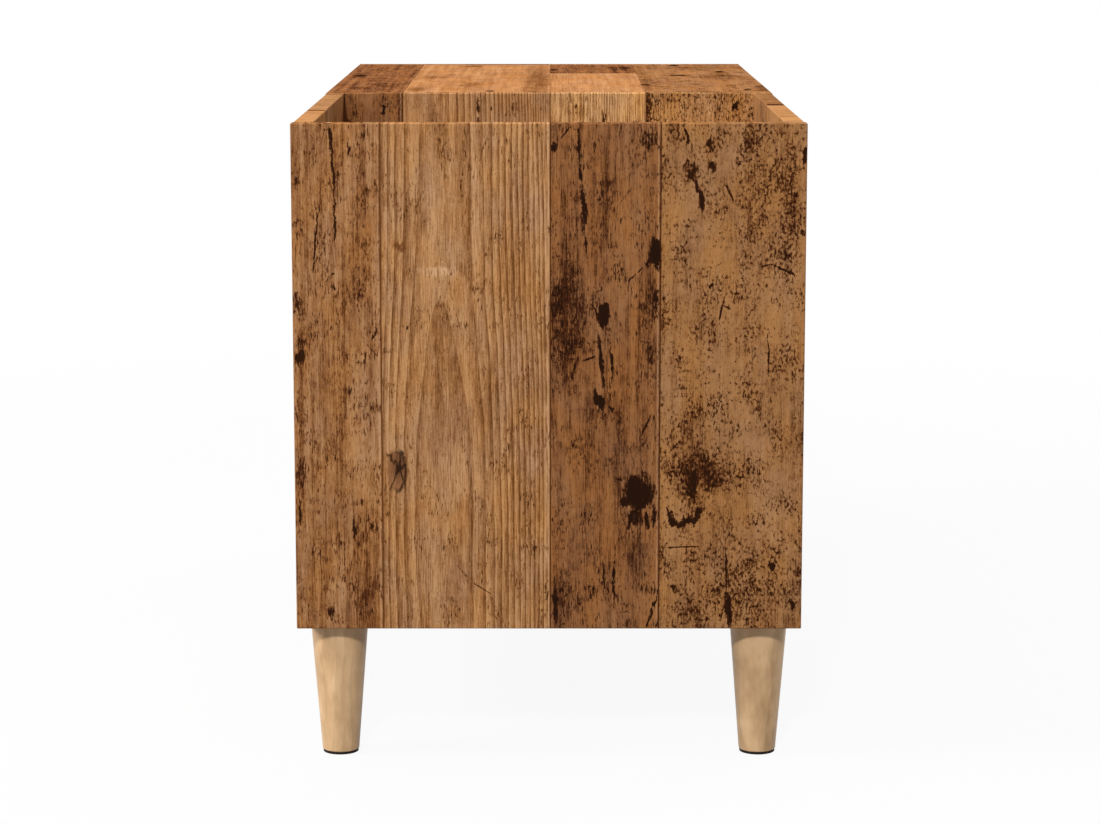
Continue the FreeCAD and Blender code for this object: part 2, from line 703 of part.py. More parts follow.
make_end_panel_bin()
make_end_panel_bay()
make_bottom_panel()
make_divider_panel()
make_top_panel()
make_bin_wall("bin_front_panel", "-Y", "-")
make_bin_wall("bin_back_panel", "+Y", "")
make_bay_back_panel()

for end, leg_x in (("bin", LEG_X), ("bay", f"-{LEG_X}")):
    for side, leg_y in (("front", f"-{LEG_Y}"), ("back", LEG_Y)):
        for make_piece in (make_leg, make_foot_pad, make_hanger_bolt, make_insert_nut):
            make_piece(f"{side}_{end}", leg_x, leg_y)

make_cam_locks(cam_lock_pattern())
make_cam_bolts(cam_bolt_pattern())
make_dowels(dowel_pattern())
make_board_screws(board_screw_pattern())
doc.recompute()

# Nothing is written unless every object worked and every hole took material away
for thing in doc.Objects:
    if "Invalid" in thing.State or "Error" in thing.State:
        raise RuntimeError(f"{thing.Label} failed: {thing.State}")
for cut in cuts:
    if not cut.Shape.Volume < cut.BaseFeature.Shape.Volume:
        raise RuntimeError(f"{cut.Label} cuts nothing")
for piece, solids in nodes:
    if piece.Shape.isNull() or not piece.Shape.isValid():
        raise RuntimeError(f"{piece.Label} has no valid shape")
    if len(piece.Shape.Solids) != solids:
        raise RuntimeError(f"{piece.Label} has {len(piece.Shape.Solids)} solids and not {solids}")

os.makedirs("parts", exist_ok=True)
whole = FreeCAD.BoundBox()
for piece, solids in nodes:
    piece.Shape.exportStep(f"parts/{piece.Label}.step")
    whole.add(piece.Shape.BoundBox)
    print(f"{piece.Label}: {solids} solid(s), {piece.Shape.Volume:.0f} cubic mm")
print(f"{len(nodes)} nodes, {sum(solids for piece, solids in nodes)} solids")
print(f"overall {whole.XLength:.1f} x {whole.YLength:.1f} x {whole.ZLength:.1f} mm, lowest {whole.ZMin:.3f}")
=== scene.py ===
# %% [markdown]
# # A record cabinet in old-wood print
#
# The cabinet is a long low box on four tapered legs: an open bin for records at the near end and a
# covered bay behind it. Its boards are particle board faced with printed paper that looks like planks
# sawn from old floors. The joinery is already solid and in place, so this script gives each piece its
# finish, sets up a small photo studio round it and places the camera.

import math
import random

import bpy
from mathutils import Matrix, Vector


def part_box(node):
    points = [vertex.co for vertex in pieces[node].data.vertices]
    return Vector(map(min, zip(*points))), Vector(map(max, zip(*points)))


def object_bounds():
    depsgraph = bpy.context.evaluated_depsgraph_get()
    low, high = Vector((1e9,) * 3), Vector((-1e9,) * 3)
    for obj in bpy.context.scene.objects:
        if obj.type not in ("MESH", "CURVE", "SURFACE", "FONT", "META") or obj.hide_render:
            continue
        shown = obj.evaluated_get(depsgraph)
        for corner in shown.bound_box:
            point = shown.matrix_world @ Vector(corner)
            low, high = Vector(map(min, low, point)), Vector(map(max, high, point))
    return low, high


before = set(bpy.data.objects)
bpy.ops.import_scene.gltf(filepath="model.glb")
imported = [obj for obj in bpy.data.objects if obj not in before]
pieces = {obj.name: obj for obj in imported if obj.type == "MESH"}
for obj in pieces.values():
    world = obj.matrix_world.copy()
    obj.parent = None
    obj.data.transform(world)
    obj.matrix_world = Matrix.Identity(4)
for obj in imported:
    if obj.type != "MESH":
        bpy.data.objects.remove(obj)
packed_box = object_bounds()
print("pieces loaded:", len(pieces))

# %% [markdown]
# Everything below is measured from the cabinet itself. Its box stands on the floor, with the record bin
# at the high X end. The photograph looks at that end, so its left is the cabinet's low Y side.

# %% The cabinet's own measures
low_corner, high_corner = packed_box
NEAR_END = high_corner.x
MM = 0.001
print("length, depth and height in mm:", [round(size / MM) for size in high_corner - low_corner])

# %% [markdown]
# ## Camera
#
# The top of the cabinet shows as a shallow strip whose sides lean inwards, and those sides meet at a
# point well above the picture. Measuring them gives the camera's distance and its height, and the size
# of the end panel in the picture then gives the lens. A tilted camera without any shift does the rest.

# %% Place the camera
CAMERA_TO_END = 2.277
CAMERA_HEIGHT = 0.644
CAMERA_TO_RIGHT = 0.0008
CAMERA_TILT = math.radians(9.34)
LENS_IN_WIDTHS = 2.8165
SENSOR_WIDTH = 36.0
SIGHT_REACH = 200.0

camera_data = bpy.data.cameras.new("studio_camera")
camera_data.sensor_fit = "HORIZONTAL"
camera_data.sensor_width = SENSOR_WIDTH
camera_data.lens = LENS_IN_WIDTHS * SENSOR_WIDTH
camera_data.clip_end = SIGHT_REACH
camera = bpy.data.objects.new("studio_camera", camera_data)
bpy.context.scene.collection.objects.link(camera)
camera.location = (NEAR_END + CAMERA_TO_END, CAMERA_TO_RIGHT, CAMERA_HEIGHT)
camera.rotation_euler = (math.radians(90) - CAMERA_TILT, 0, math.radians(90))
bpy.context.scene.camera = camera
bpy.context.scene.view_settings.view_transform = "Standard"
print("lens in mm:", round(camera_data.lens, 1))

# %% [markdown]
# ## Wiring for materials
#
# A procedural material is a net of small nodes. Wired by hand in Python, each node takes several lines,
# which hides the idea. So one small class holds a material's nodes and offers the few steps that wood
# needs: arithmetic, noise, easing between two levels, and blending. Every step returns a socket, which
# the next step takes as its input. The world's light is wired with the same class.

# %% A helper that wires a material
class Finish:
    """The nodes of one material or world, made in the order in which they feed each other."""

    def __init__(self, name, shelf=bpy.data.materials):
        self.owner = shelf.new(name)
        self.owner.use_nodes = True
        self.tree = self.owner.node_tree
        self.tree.nodes.clear()
        coordinates = self.node("TexCoord")
        self.place = coordinates.outputs["Object"]
        self.facing = coordinates.outputs["Normal"]

    def node(self, kind, *values, **settings):
        """A new node with its first inputs fed and its settings made."""
        made = self.tree.nodes.new("ShaderNode" + kind)
        for name, value in settings.items():
            setattr(made, name, value)
        for socket, value in zip(made.inputs, values):
            self.feed(socket, value)
        return made

    def feed(self, socket, value):
        if isinstance(value, bpy.types.NodeSocket):
            self.tree.links.new(value, socket)
        else:
            socket.default_value = value

    def fill(self, node, **values):
        """Feeds the named inputs: Base_Color is the input Base Color."""
        for name, value in values.items():
            self.feed(node.inputs[name.replace("_", " ")], value)
        return node

    def maths(self, operation, *values, clamp=False):
        return self.node("Math", *values, operation=operation, use_clamp=clamp).outputs[0]

    def plus(self, *values):
        return self.maths("ADD", *values)

    def minus(self, *values):
        return self.maths("SUBTRACT", *values)

    def larger(self, *values):
        return self.maths("MAXIMUM", *values)

    def times(self, *values, clamp=False):
        return self.maths("MULTIPLY", *values, clamp=clamp)

    def times_plus(self, *values, clamp=False):
        """The first value times the second, plus the third."""
        return self.maths("MULTIPLY_ADD", *values, clamp=clamp)

    def vector(self, operation, *values):
        made = self.node("VectorMath", *values, operation=operation)
        return made.outputs["Value" if operation in ("DOT_PRODUCT", "LENGTH") else "Vector"]

    def split(self, vector):
        return self.node("SeparateXYZ", vector).outputs

    def join(self, *values):
        return self.node("CombineXYZ", *values).outputs[0]

    def place_in_mm(self):
        place = self.node("VectorMath", self.place, operation="SCALE")
        return self.fill(place, Scale=1 / MM).outputs[0]

    def noise(self, place, size, detail, roughness, coloured=False):
        """Noise whose lumps are about size long along each axis of place."""
        shrunk = self.vector("DIVIDE", place, size)
        made = self.node("TexNoise", shrunk)
        self.fill(made, Scale=1.0, Detail=detail, Roughness=roughness)
        return made.outputs["Color" if coloured else "Fac"]

    def ease(self, value, start, end):
        """A soft step: 0 up to start, 1 from end on."""
        return self.node("MapRange", value, start, end, interpolation_type="SMOOTHSTEP").outputs[0]

    def fade(self, value, start, end):
        """The opposite of ease: 1 up to start, 0 from end on."""
        return self.minus(1.0, self.ease(value, start, end))

    def halves(self, level):
        """How far a level is through its lower half and through its upper half."""
        lower = self.times(level, 2.0, clamp=True)
        return lower, self.times_plus(level, 2.0, -1.0, clamp=True)

    def blend(self, share, first, second):
        """A number between two numbers, or a colour between two colours."""
        coloured = isinstance(second, tuple) or getattr(second, "type", "VALUE") == "RGBA"
        made = self.node("Mix", share, data_type="RGBA" if coloured else "FLOAT")
        left, right, result = (6, 7, 2) if coloured else (2, 3, 0)
        self.feed(made.inputs[left], first)
        self.feed(made.inputs[right], second)
        return made.outputs[result]

    def surface(self, colour, roughness, height=None, relief=0.0, metallic=0.0, specular=0.5):
        """The finished surface, with height as a bump whose full step is relief metres."""
        shader = self.node("BsdfPrincipled")
        self.fill(shader, Base_Color=colour, Roughness=roughness, Metallic=metallic)
        self.fill(shader, Specular_IOR_Level=specular)
        if height is not None:
            bump = self.fill(self.node("Bump"), Distance=relief, Height=height)
            self.fill(shader, Normal=bump.outputs["Normal"])
        return self.hand_over("OutputMaterial", shader)

    def hand_over(self, output, shader):
        """Joins the last shader to the output and gives back the material or world."""
        self.node(output, shader.outputs[0])
        return self.owner


def paint(red, green, blue):
    """A colour given as it looks on a screen, 0 to 255, as the light that a shader wants."""
    def light(level):
        share = level / 255
        return share / 12.92 if share <= 0.04045 else ((share + 0.055) / 1.055) ** 2.4
    return (light(red), light(green), light(blue), 1.0)


print("a middle grey on screen is", round(paint(128, 128, 128)[0], 3), "in light")

# %% [markdown]
# ## Floor and background
#
# The photograph stands the cabinet on plain white. A floor that is white only because it is lit hard
# would wash out the wood, so the floor is an ordinary pale surface with some white added for what the
# camera, mirrors and glass see. Near the cabinet it still takes the soft shadow, and further out the
# white takes over, because the lamps don't reach there.

# %% Make the floor
FLOOR_REACH = 60.0
NEAR_WHITE = 0.93
SHADOW_REACH = (0.7, 2.2)
SEEN_GREY = 0.59
BOUNCED_GREY = 0.3

floor_mesh = bpy.data.meshes.new("floor")
floor_corners = [(x * FLOOR_REACH, y * FLOOR_REACH, 0) for x, y in ((-1, -1), (1, -1), (1, 1), (-1, 1))]
floor_mesh.from_pydata(floor_corners, [], [(0, 1, 2, 3)])
floor = bpy.data.objects.new("floor", floor_mesh)
bpy.context.scene.collection.objects.link(floor)


def seen_directly(finish):
    """1 for what the camera, a mirror or glass sees, and 0 for light that bounces."""
    path = finish.node("LightPath")
    either = finish.larger(path.outputs["Is Camera Ray"], path.outputs["Is Glossy Ray"])
    return finish.larger(either, path.outputs["Is Transmission Ray"])


def make_floor_finish():
    finish = Finish("pale_floor")
    seen = seen_directly(finish)
    lit = finish.node("BsdfDiffuse")
    finish.fill(lit, Color=finish.blend(seen, BOUNCED_GREY, SEEN_GREY))
    white = finish.fill(finish.node("Emission"), Strength=1.0)
    away = finish.ease(finish.vector("LENGTH", finish.place), *SHADOW_REACH)
    whiteness = finish.times_plus(away, 1 - NEAR_WHITE, NEAR_WHITE)
    share = finish.times(seen, whiteness)
    mixed = finish.node("MixShader", share, lit.outputs[0], white.outputs[0])
    return finish.hand_over("OutputMaterial", mixed)


floor.data.materials.append(make_floor_finish())
print("floor reaches", FLOOR_REACH, "m each way")

# %% [markdown]
# The world does two jobs. It is the white that shows past the floor, and it is the even light that
# comes from everywhere. The second has to be far dimmer than the first, or the wood goes flat.

# %% Light the room evenly
ROOM_LIGHT = 0.17

room = Finish("white_room", bpy.data.worlds)
room_strength = room.times_plus(seen_directly(room), 1 - ROOM_LIGHT, ROOM_LIGHT)
background = room.node("Background", (1, 1, 1, 1), room_strength)
bpy.context.scene.world = room.hand_over("OutputWorld", background)
print("even light:", ROOM_LIGHT)

# %% [markdown]
# ## Lamps
#
# The end panel drops a short, crisp shadow on the legs, so the main lamp stands in front, a good 30
# degrees up. The cabinet's top is much brighter than its end, which takes a wide lamp overhead. The
# bin's right wall is bright and its left wall dark, so a soft lamp stands on the left. A weaker one
# behind the cabinet keeps its back and its far end from going black. The table gives each lamp's place
# and size in metres and its power in watts.

# %% Hang the lamps
LAMPS = {
    "front_lamp": ((4.3, -0.5, 2.9), 0.4, 158),
    "top_lamp": ((0.0, -0.3, 3.2), 2.2, 48),
    "left_lamp": ((0.9, -3.2, 2.2), 1.2, 125),
    "back_lamp": ((-2.8, 2.8, 1.9), 1.6, 78),
}


def hang_lamp(name, place, size, power):
    """A square lamp, turned to the middle of the cabinet."""
    data = bpy.data.lights.new(name, "AREA")
    data.shape = "SQUARE"
    data.size = size
    data.energy = power
    lamp = bpy.data.objects.new(name, data)
    bpy.context.scene.collection.objects.link(lamp)
    lamp.location = place
    middle = (low_corner + high_corner) / 2
    lamp.rotation_euler = (lamp.location - middle).to_track_quat("Z", "Y").to_euler()


for name, facts in LAMPS.items():
    hang_lamp(name, *facts)
print("lamps:", *LAMPS)

# %% [markdown]
# ## Laying the print on a board
#
# A plank pattern is easiest to think about flat, like a drawing: millimetres across the planks,
# millimetres along them, and the depth into the board. Each board says which way its planks run, and
# the three numbers come from the place of the point in the cabinet. On an edge, the depth into the
# board carries on the count beyond the face, so the print folds round it as the real edge bands do. On
# the inner face the depth shifts the print, so the two faces of a board differ.

# %% Measure across, along and into a board
def axis_and_sign(direction):
    """The number of the axis and the sign: 0 and -1 for "-X"."""
    return "XYZ".index(direction[1]), float(direction[0] + "1")


def measure(finish, node, direction, start=0.0):
    """Millimetres from a board's side, where "+Y" counts up from its low Y side and "-Z" down from its
    top, and how far the surface faces that way: 1 for fully, -1 for the other way."""
    axis, sign = axis_and_sign(direction)
    low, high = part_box(node)
    side = low[axis] if sign > 0 else high[axis]
    coordinate = finish.split(finish.place)[axis]
    facing = finish.split(finish.facing)[axis]
    distance = finish.times_plus(coordinate, sign / MM, start - sign * side / MM)
    return distance, finish.times(facing, sign)


INNER_FACE_SHIFT = 31.0


def lay_print(finish, node, across, along, into, start):
    """Across, along and depth in millimetres, with the print folded round the board's edges."""
    across, facing_across = measure(finish, node, across, start[0])
    along, facing_along = measure(finish, node, along, start[1])
    into, facing_into = measure(finish, node, into)
    depth = finish.times(into, finish.maths("ABSOLUTE", facing_into))
    across = finish.times_plus(into, facing_across, across)
    along = finish.times_plus(into, facing_along, along)
    return across, finish.times_plus(depth, INNER_FACE_SHIFT, along), depth


for name in ("end_panel_bin", "top_panel", "bin_front_panel"):
    low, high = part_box(name)
    print(name, "is", [round(size / MM, 1) for size in high - low], "mm")

# %% [markdown]
# ## Seven kinds of plank
#
# The print shows planks of four widths and seven kinds. Each kind has its own colour, from its darkest
# grain to its palest, and its own character: a brown one with open grain, a tan one cut through the
# heart so that its rings make tall arches, a red-brown one with black stains, a yellowish one full of
# small specks, a plain one the colour of straw, a straw one with ribs, and one as if sown with pepper.
# A tan one may also be sawn beside the heart, and then has its arches at one side.
#
# "heart" is where the heart of the tree lies, in mm from the plank's left edge, "rise" how steeply the
# rings lean to it, and "ring_count" how close they are. The other numbers say how strong each kind of
# line is, and how common the dashes and specks are.

# %% Describe the planks
PLANKS = {
    "brown": {
        "dark": paint(88, 48, 24), "middle": paint(150, 102, 62), "pale": paint(176, 130, 88),
        "rings": 0.12, "ring_count": 0.0016, "heart": -45, "rise": 0.005, "streaks": 1.2,
        "hairs": 1.0, "smudges": 1.1, "dashes": 0.065, "specks": 0.01, "crowds": 0.55,
    },
    "tan": {
        "dark": paint(106, 65, 33), "middle": paint(156, 109, 69), "pale": paint(188, 142, 98),
        "rings": 0.55, "ring_count": 0.0022, "heart": 47, "rise": 0.026, "streaks": 0.8,
        "hairs": 1.3, "smudges": 0.6, "dashes": 0.02, "specks": -0.03, "crowds": 0.55,
    },
    "red": {
        "dark": paint(62, 32, 17), "middle": paint(134, 87, 52), "pale": paint(153, 105, 65),
        "rings": 0.08, "ring_count": 0.0030, "heart": 140, "rise": 0.005, "streaks": 1.1,
        "hairs": 1.1, "smudges": 1.0, "dashes": 0.055, "specks": 0.015, "crowds": 0.55,
    },
    "speckled": {
        "dark": paint(78, 40, 18), "middle": paint(154, 108, 67), "pale": paint(172, 126, 83),
        "rings": 0.05, "ring_count": 0.0022, "heart": -70, "rise": 0.005, "streaks": 0.6,
        "hairs": 0.8, "smudges": 1.0, "dashes": 0.02, "specks": 0.075, "crowds": 0.48,
    },
    "straw": {
        "dark": paint(124, 80, 44), "middle": paint(172, 121, 76), "pale": paint(198, 150, 102),
        "rings": 0.12, "ring_count": 0.0024, "heart": -60, "rise": 0.005, "streaks": 0.7,
        "hairs": 0.6, "smudges": 0.4, "dashes": 0.01, "specks": -0.04, "crowds": 0.55,
    },
    "ribbed": {
        "dark": paint(118, 78, 42), "middle": paint(184, 134, 84), "pale": paint(218, 170, 116),
        "rings": 0.38, "ring_count": 0.0030, "heart": -30, "rise": 0.005, "streaks": 1.0,
        "hairs": 1.6, "smudges": 0.8, "dashes": 0.02, "specks": -0.03, "crowds": 0.55,
    },
    "peppered": {
        "dark": paint(80, 44, 20), "middle": paint(170, 119, 72), "pale": paint(202, 152, 98),
        "rings": 0.05, "ring_count": 0.0022, "heart": -70, "rise": 0.005, "streaks": 0.6,
        "hairs": 1.4, "smudges": 0.5, "dashes": 0.08, "specks": 0.1, "crowds": 0.36,
    },
}
PLANKS["side tan"] = dict(PLANKS["tan"], heart=12.0)
PLANK_WIDTHS = (65.5, 125.5, 81.5, 107.5)
PATTERN = ("brown", "tan", "red", "speckled")
print("pattern width in mm:", sum(PLANK_WIDTHS))

# %% [markdown]
# A board shows some of these planks side by side, and a long plank may end at a joint where another
# goes on. Rather than wiring four whole materials, the finish asks at each point which plank it is on,
# and then looks up one number or colour after the other.

# %% Choose values plank by plank
SEED_PER_MM = 7


def lay_planks(finish, across, along, pattern, joints, seed):
    """Each plank's kind and left edge, its own seed, and the share that says a point is on it."""
    left = 0.0
    layout = []
    for number, (kind, width) in enumerate(zip(pattern, PLANK_WIDTHS)):
        share = finish.maths("GREATER_THAN", across, left) if layout else None
        layout.append({"kind": kind, "left": left, "share": share, "seed": seed + left * SEED_PER_MM})
        for joined_to, joint_kind, place in joints:
            if joined_to == number:
                inside = finish.maths("GREATER_THAN", across, left)
                beyond = finish.maths("GREATER_THAN", along, place)
                both = finish.times(inside, beyond)
                layout.append({"kind": joint_kind, "left": left, "share": both, "seed": seed + place})
        left += width
    return layout


def pick(finish, layout, wanted):
    """wanted(plank) for the plank under the point."""
    value = wanted(layout[0])
    for plank in layout[1:]:
        value = finish.blend(plank["share"], value, wanted(plank))
    return value


def quality(name):
    """The question to put to a plank for that value."""
    return lambda plank: PLANKS[plank["kind"]][name]


print("looked up per plank:", list(PLANKS["tan"]))

# %% [markdown]
# ## Grain
#
# Sawn softwood has two kinds of line. Its growth rings are thin cones one inside the other, and a saw
# that passes them off centre leaves arches with straight pinstripes beside them. That comes from one
# formula: count the rings by the distance from the heart of the tree, across and in depth. Each ring
# darkens slowly outwards and stops at a sharp edge. Fibres and pores are noise, stretched along the
# plank, and so are the larger patches, smudges and grit that make old wood uneven.

# %% Growth rings
HEART_DEPTH = 21.3
FALL_BEYOND_TIP = 3.0
RING_SHARPNESS = 1.5
RING_MEAN = 0.4
ARCH_STRENGTH = 0.6
PINSTRIPE_GAIN = 0.9
PINSTRIPES = (5, 45)


def ring_tone(finish, layout, across, along, arch_tip, wobble):
    """How much the rings lighten or darken a point."""
    heart = pick(finish, layout, lambda plank: plank["left"] + PLANKS[plank["kind"]]["heart"])
    sideways = finish.minus(across, heart)
    fall = finish.minus(arch_tip, along)
    fall = finish.times_plus(finish.maths("MINIMUM", fall, 0.0), FALL_BEYOND_TIP, fall)
    depth = finish.times_plus(fall, pick(finish, layout, quality("rise")), HEART_DEPTH)
    square = finish.times_plus(sideways, sideways, finish.times(depth, depth))
    count = finish.times_plus(square, pick(finish, layout, quality("ring_count")), wobble)
    part = finish.maths("POWER", finish.maths("FRACT", count), RING_SHARPNESS)
    pinstripes = finish.ease(finish.maths("ABSOLUTE", sideways), *PINSTRIPES)
    strength = pick(finish, layout, quality("rings"))
    gain = finish.times_plus(pinstripes, PINSTRIPE_GAIN, ARCH_STRENGTH)
    strength = finish.times(strength, gain)
    return finish.times(finish.minus(RING_MEAN, part), strength)


print("ring lines are sharpest", PINSTRIPES[1], "mm and more from the heart")

# %% [markdown]
# Every other line comes from a noise. Only its lumps differ: their size across, along and into the
# board in mm, how much finer detail they carry, and how rough that is. So one table holds them all.

# %% Streaks, hairlines and flecks
LUMPS = {
    "bend": ((34, 190, 34), 2, 0.5),
    "patches": ((36, 80, 36), 4, 0.6),
    "streaks": ((5, 150, 5), 4, 0.6),
    "smudges": ((5, 9, 5), 4, 0.65),
    "grit": ((1.0, 2.2, 1.0), 2, 0.7),
    "hairs": ((0.9, 18, 0.9), 3, 0.6),
    "crowds": ((15, 28, 15), 3, 0.55),
    "dashes": ((1.2, 6.5, 1.2), 3, 0.62),
    "specks": ((2.0, 3.2, 2.0), 4, 0.62),
    "torn rims": ((8, 16, 8), 5, 0.68),
    "hue": ((24, 60, 24), 3, 0.6),
    "hardboard": ((16, 16, 16), 9, 0.82),
}
RING_BEND = 1.2
PLAIN_TONE = 0.55
TINT_DEPTH = 0.75
PATCH_DEPTH = 0.8
STREAK_DEPTH = 1.7
GRIT_DEPTH = 0.8
HAIR_DEPTH = 1.3
FLECKS_IN_TINTS = 0.14
FLECK_CONTRAST = 1.6


def swing(finish, noise, reach):
    """A noise from 0 to 1 as a swing round 0, reach wide."""
    return finish.times_plus(noise, reach, -reach / 2)


def plank_swing(finish, layout, noise, name):
    """A noise as a swing round 0, as wide as the plank under the point says."""
    around_zero = finish.minus(noise, 0.5)
    return finish.times(around_zero, pick(finish, layout, quality(name)))


def grain(finish, layout, place, across, along, arch_tip, tint):
    """How pale the wood is at a point, from 0 to 1, and the hairlines alone."""
    bend = swing(finish, finish.noise(place, *LUMPS["bend"]), RING_BEND)
    rings = ring_tone(finish, layout, across, along, arch_tip, bend)
    tone = finish.times_plus(tint, -TINT_DEPTH, finish.plus(rings, PLAIN_TONE))
    patches = finish.noise(place, *LUMPS["patches"])
    tone = finish.plus(tone, swing(finish, patches, PATCH_DEPTH))
    streaks = plank_swing(finish, layout, finish.noise(place, *LUMPS["streaks"]), "streaks")
    tone = finish.times_plus(streaks, STREAK_DEPTH, tone)
    smudges = plank_swing(finish, layout, finish.noise(place, *LUMPS["smudges"]), "smudges")
    tone = finish.plus(tone, smudges)
    grit = finish.noise(place, *LUMPS["grit"])
    tone = finish.plus(tone, swing(finish, grit, GRIT_DEPTH))
    hairs = finish.noise(place, *LUMPS["hairs"])
    fine = plank_swing(finish, layout, hairs, "hairs")
    tone = finish.times_plus(fine, HAIR_DEPTH, tone, clamp=True)
    return tone, hairs


def flecks(finish, layout, place, tint):
    """The level of short dashes and of specks at a point, which crowd together here and there."""
    crowding = plank_swing(finish, layout, finish.noise(place, *LUMPS["crowds"]), "crowds")
    crowding = finish.times_plus(tint, FLECKS_IN_TINTS, crowding)
    dashes = finish.noise(place, *LUMPS["dashes"])
    dashes = finish.plus(dashes, pick(finish, layout, quality("dashes")))
    specks = finish.noise(place, *LUMPS["specks"])
    specks = finish.plus(specks, pick(finish, layout, quality("specks")))
    level = finish.plus(finish.larger(dashes, specks), crowding)
    return finish.times_plus(level, FLECK_CONTRAST, 0.5 - 0.5 * FLECK_CONTRAST)


print("finest lines in mm:", LUMPS["hairs"][0][0], "wide and", LUMPS["hairs"][0][1], "long")

# %% [markdown]
# ## Marks of age
#
# Old planks carry cracks, nail stains and clusters of dark specks. Each mark is a leaning ellipse.
# Added to the noise of the flecks and then cut at one level, the middle of a strong mark is solid, its
# rim is ragged, and a weak mark is only a cluster of specks. So one rule draws them all, and the noise
# alone still scatters a few specks over the rest.

# %% Draw marks on a board
HALF_CRACK = 0.54
WANDER_ACROSS = 7.0
WANDER_ALONG = 26.0


def crack(start, end, half_width, strength):
    """A long thin mark from one point to another, in millimetres across and along."""
    run = (end[0] - start[0], end[1] - start[1])
    middle = ((start[0] + end[0]) / 2, (start[1] + end[1]) / 2)
    half_sizes = (half_width, math.hypot(*run) * HALF_CRACK)
    return (middle, half_sizes, math.atan2(run[0], run[1]), strength)


def spot(across, along, half_width, half_length, strength, lean=0.0):
    """A stain, whose lower end leans to the right by lean degrees."""
    return ((across, along), (half_width, half_length), math.radians(lean), strength)


def counted_from(middle, direction, half_size):
    """The numbers whose dot product with (across, along, 1) counts half sizes from a mark's middle."""
    steps = [part / half_size for part in direction]
    return (*steps, -steps[0] * middle[0] - steps[1] * middle[1])


def gather(finish, flat, marks):
    """The strongest mark at a point, 0 where there is none. flat is (across, along, 1)."""
    strongest = 0.0
    for middle, (half_width, half_length), lean, strength in marks:
        long_way = (math.sin(lean), math.cos(lean))
        short_way = (math.cos(lean), -math.sin(lean))
        down = finish.vector("DOT_PRODUCT", flat, counted_from(middle, long_way, half_length))
        aside = finish.vector("DOT_PRODUCT", flat, counted_from(middle, short_way, half_width))
        reach = finish.times_plus(down, down, finish.times(aside, aside))
        level = finish.times_plus(reach, -strength, strength)
        strongest = finish.larger(strongest, level)
    return strongest


def ragged(finish, place, across, along):
    """The flat place of a point, pushed about so that marks get torn rims and cracks wander."""
    push = finish.split(finish.noise(place, *LUMPS["torn rims"], coloured=True))
    aside = swing(finish, push[0], WANDER_ACROSS)
    down = swing(finish, push[1], WANDER_ALONG)
    return finish.join(finish.plus(across, aside), finish.plus(along, down), 1.0)


print("a 10 mm crack leans", round(math.degrees(crack((0, 0), (1, 10), 1, 1)[2]), 1), "degrees")

# %% [markdown]
# ## The printed board
#
# Now the print comes together: the plank's own three colours by tone, a slow drift from warmer to
# cooler, brown tints and pale worn places, the dark marks, and a thin dark line at every seam with a
# pale one beside it. The facing is matt paper: it mirrors nothing, and its relief is only a hint of
# the fibres.

# %% Seams, hue and dark marks
STAIN = paint(32, 19, 12)
WORN = paint(204, 160, 120)
WARMER = (1.05, 1.0, 0.86)
COOLER = (0.95, 1.0, 1.14)
HUE_DRIFT = (0.3, 0.7)
DARK_LINE = (0.2, 0.8)
PALE_LINE = (0.2, 0.9)
LINE_GAP = 1.7


def seam_lines(finish, layout, across):
    """How dark and how pale the two fine lines of a seam are at a point."""
    dark = 0.0
    pale = 0.0
    for plank in layout[1:]:
        away = finish.minus(across, plank["left"])
        dark = finish.larger(dark, finish.fade(finish.maths("ABSOLUTE", away), *DARK_LINE))
        beside = finish.maths("ABSOLUTE", finish.plus(away, LINE_GAP))
        pale = finish.larger(pale, finish.fade(beside, *PALE_LINE))
    return dark, pale


def drift_of_hue(finish, place, colour, cast):
    """The colour turned warmer here and cooler there, and all over by the board's cast."""
    drift = finish.ease(finish.noise(place, *LUMPS["hue"]), *HUE_DRIFT)
    cooler = tuple(part * share for part, share in zip(COOLER, cast)) + (1.0,)
    warmer = tuple(part * share for part, share in zip(WARMER, cast)) + (1.0,)
    filtered = finish.node("Mix", 1.0, data_type="RGBA", blend_type="MULTIPLY")
    finish.feed(filtered.inputs[6], colour)
    finish.feed(filtered.inputs[7], finish.blend(drift, cooler, warmer))
    return filtered.outputs[2]


def darken(finish, colour, layout, share):
    """Towards the plank's own darkest colour first, and then to black-brown."""
    first, second = finish.halves(share)
    colour = finish.blend(first, colour, pick(finish, layout, quality("dark")))
    return finish.blend(second, colour, STAIN)


print("a seam's dark line is", 2 * DARK_LINE[1], "mm wide with its soft sides")

# %% [markdown]
# Two things lie on a plank that its own noise can't give. A dead knot, the end of a branch that the
# tree grew round, is an oval of redder wood with cracks from its heart. And where a board is bare
# hardboard on one side, the print stops and a brown felt of fibres shows.

# %% Knots and bare hardboard
KNOT_HEART = paint(74, 42, 26)
KNOT_WOOD = paint(138, 92, 60)
KNOT_DEPTH = 0.85
KNOT_EDGE = (0.7, 1.0)
HEART_OFF = 0.25
HEART_EDGE = (0.1, 0.9)
CRACKS_IN_KNOT = 5
FIRST_CRACK = 0.6
CRACK_EDGE = (0.06, 0.26)
RIM_REACH = 0.85
RIM_EDGE = (0.04, 0.22)
RIM_SIDE = (-0.7, 0.5)
RIM_END = (0.85, 1.1)
HARDBOARD_DARK = paint(104, 74, 47)
HARDBOARD_PALE = paint(160, 121, 83)
HARDBOARD_MOTTLE = (0.25, 0.75)
TURNED_THAT_WAY = 0.5


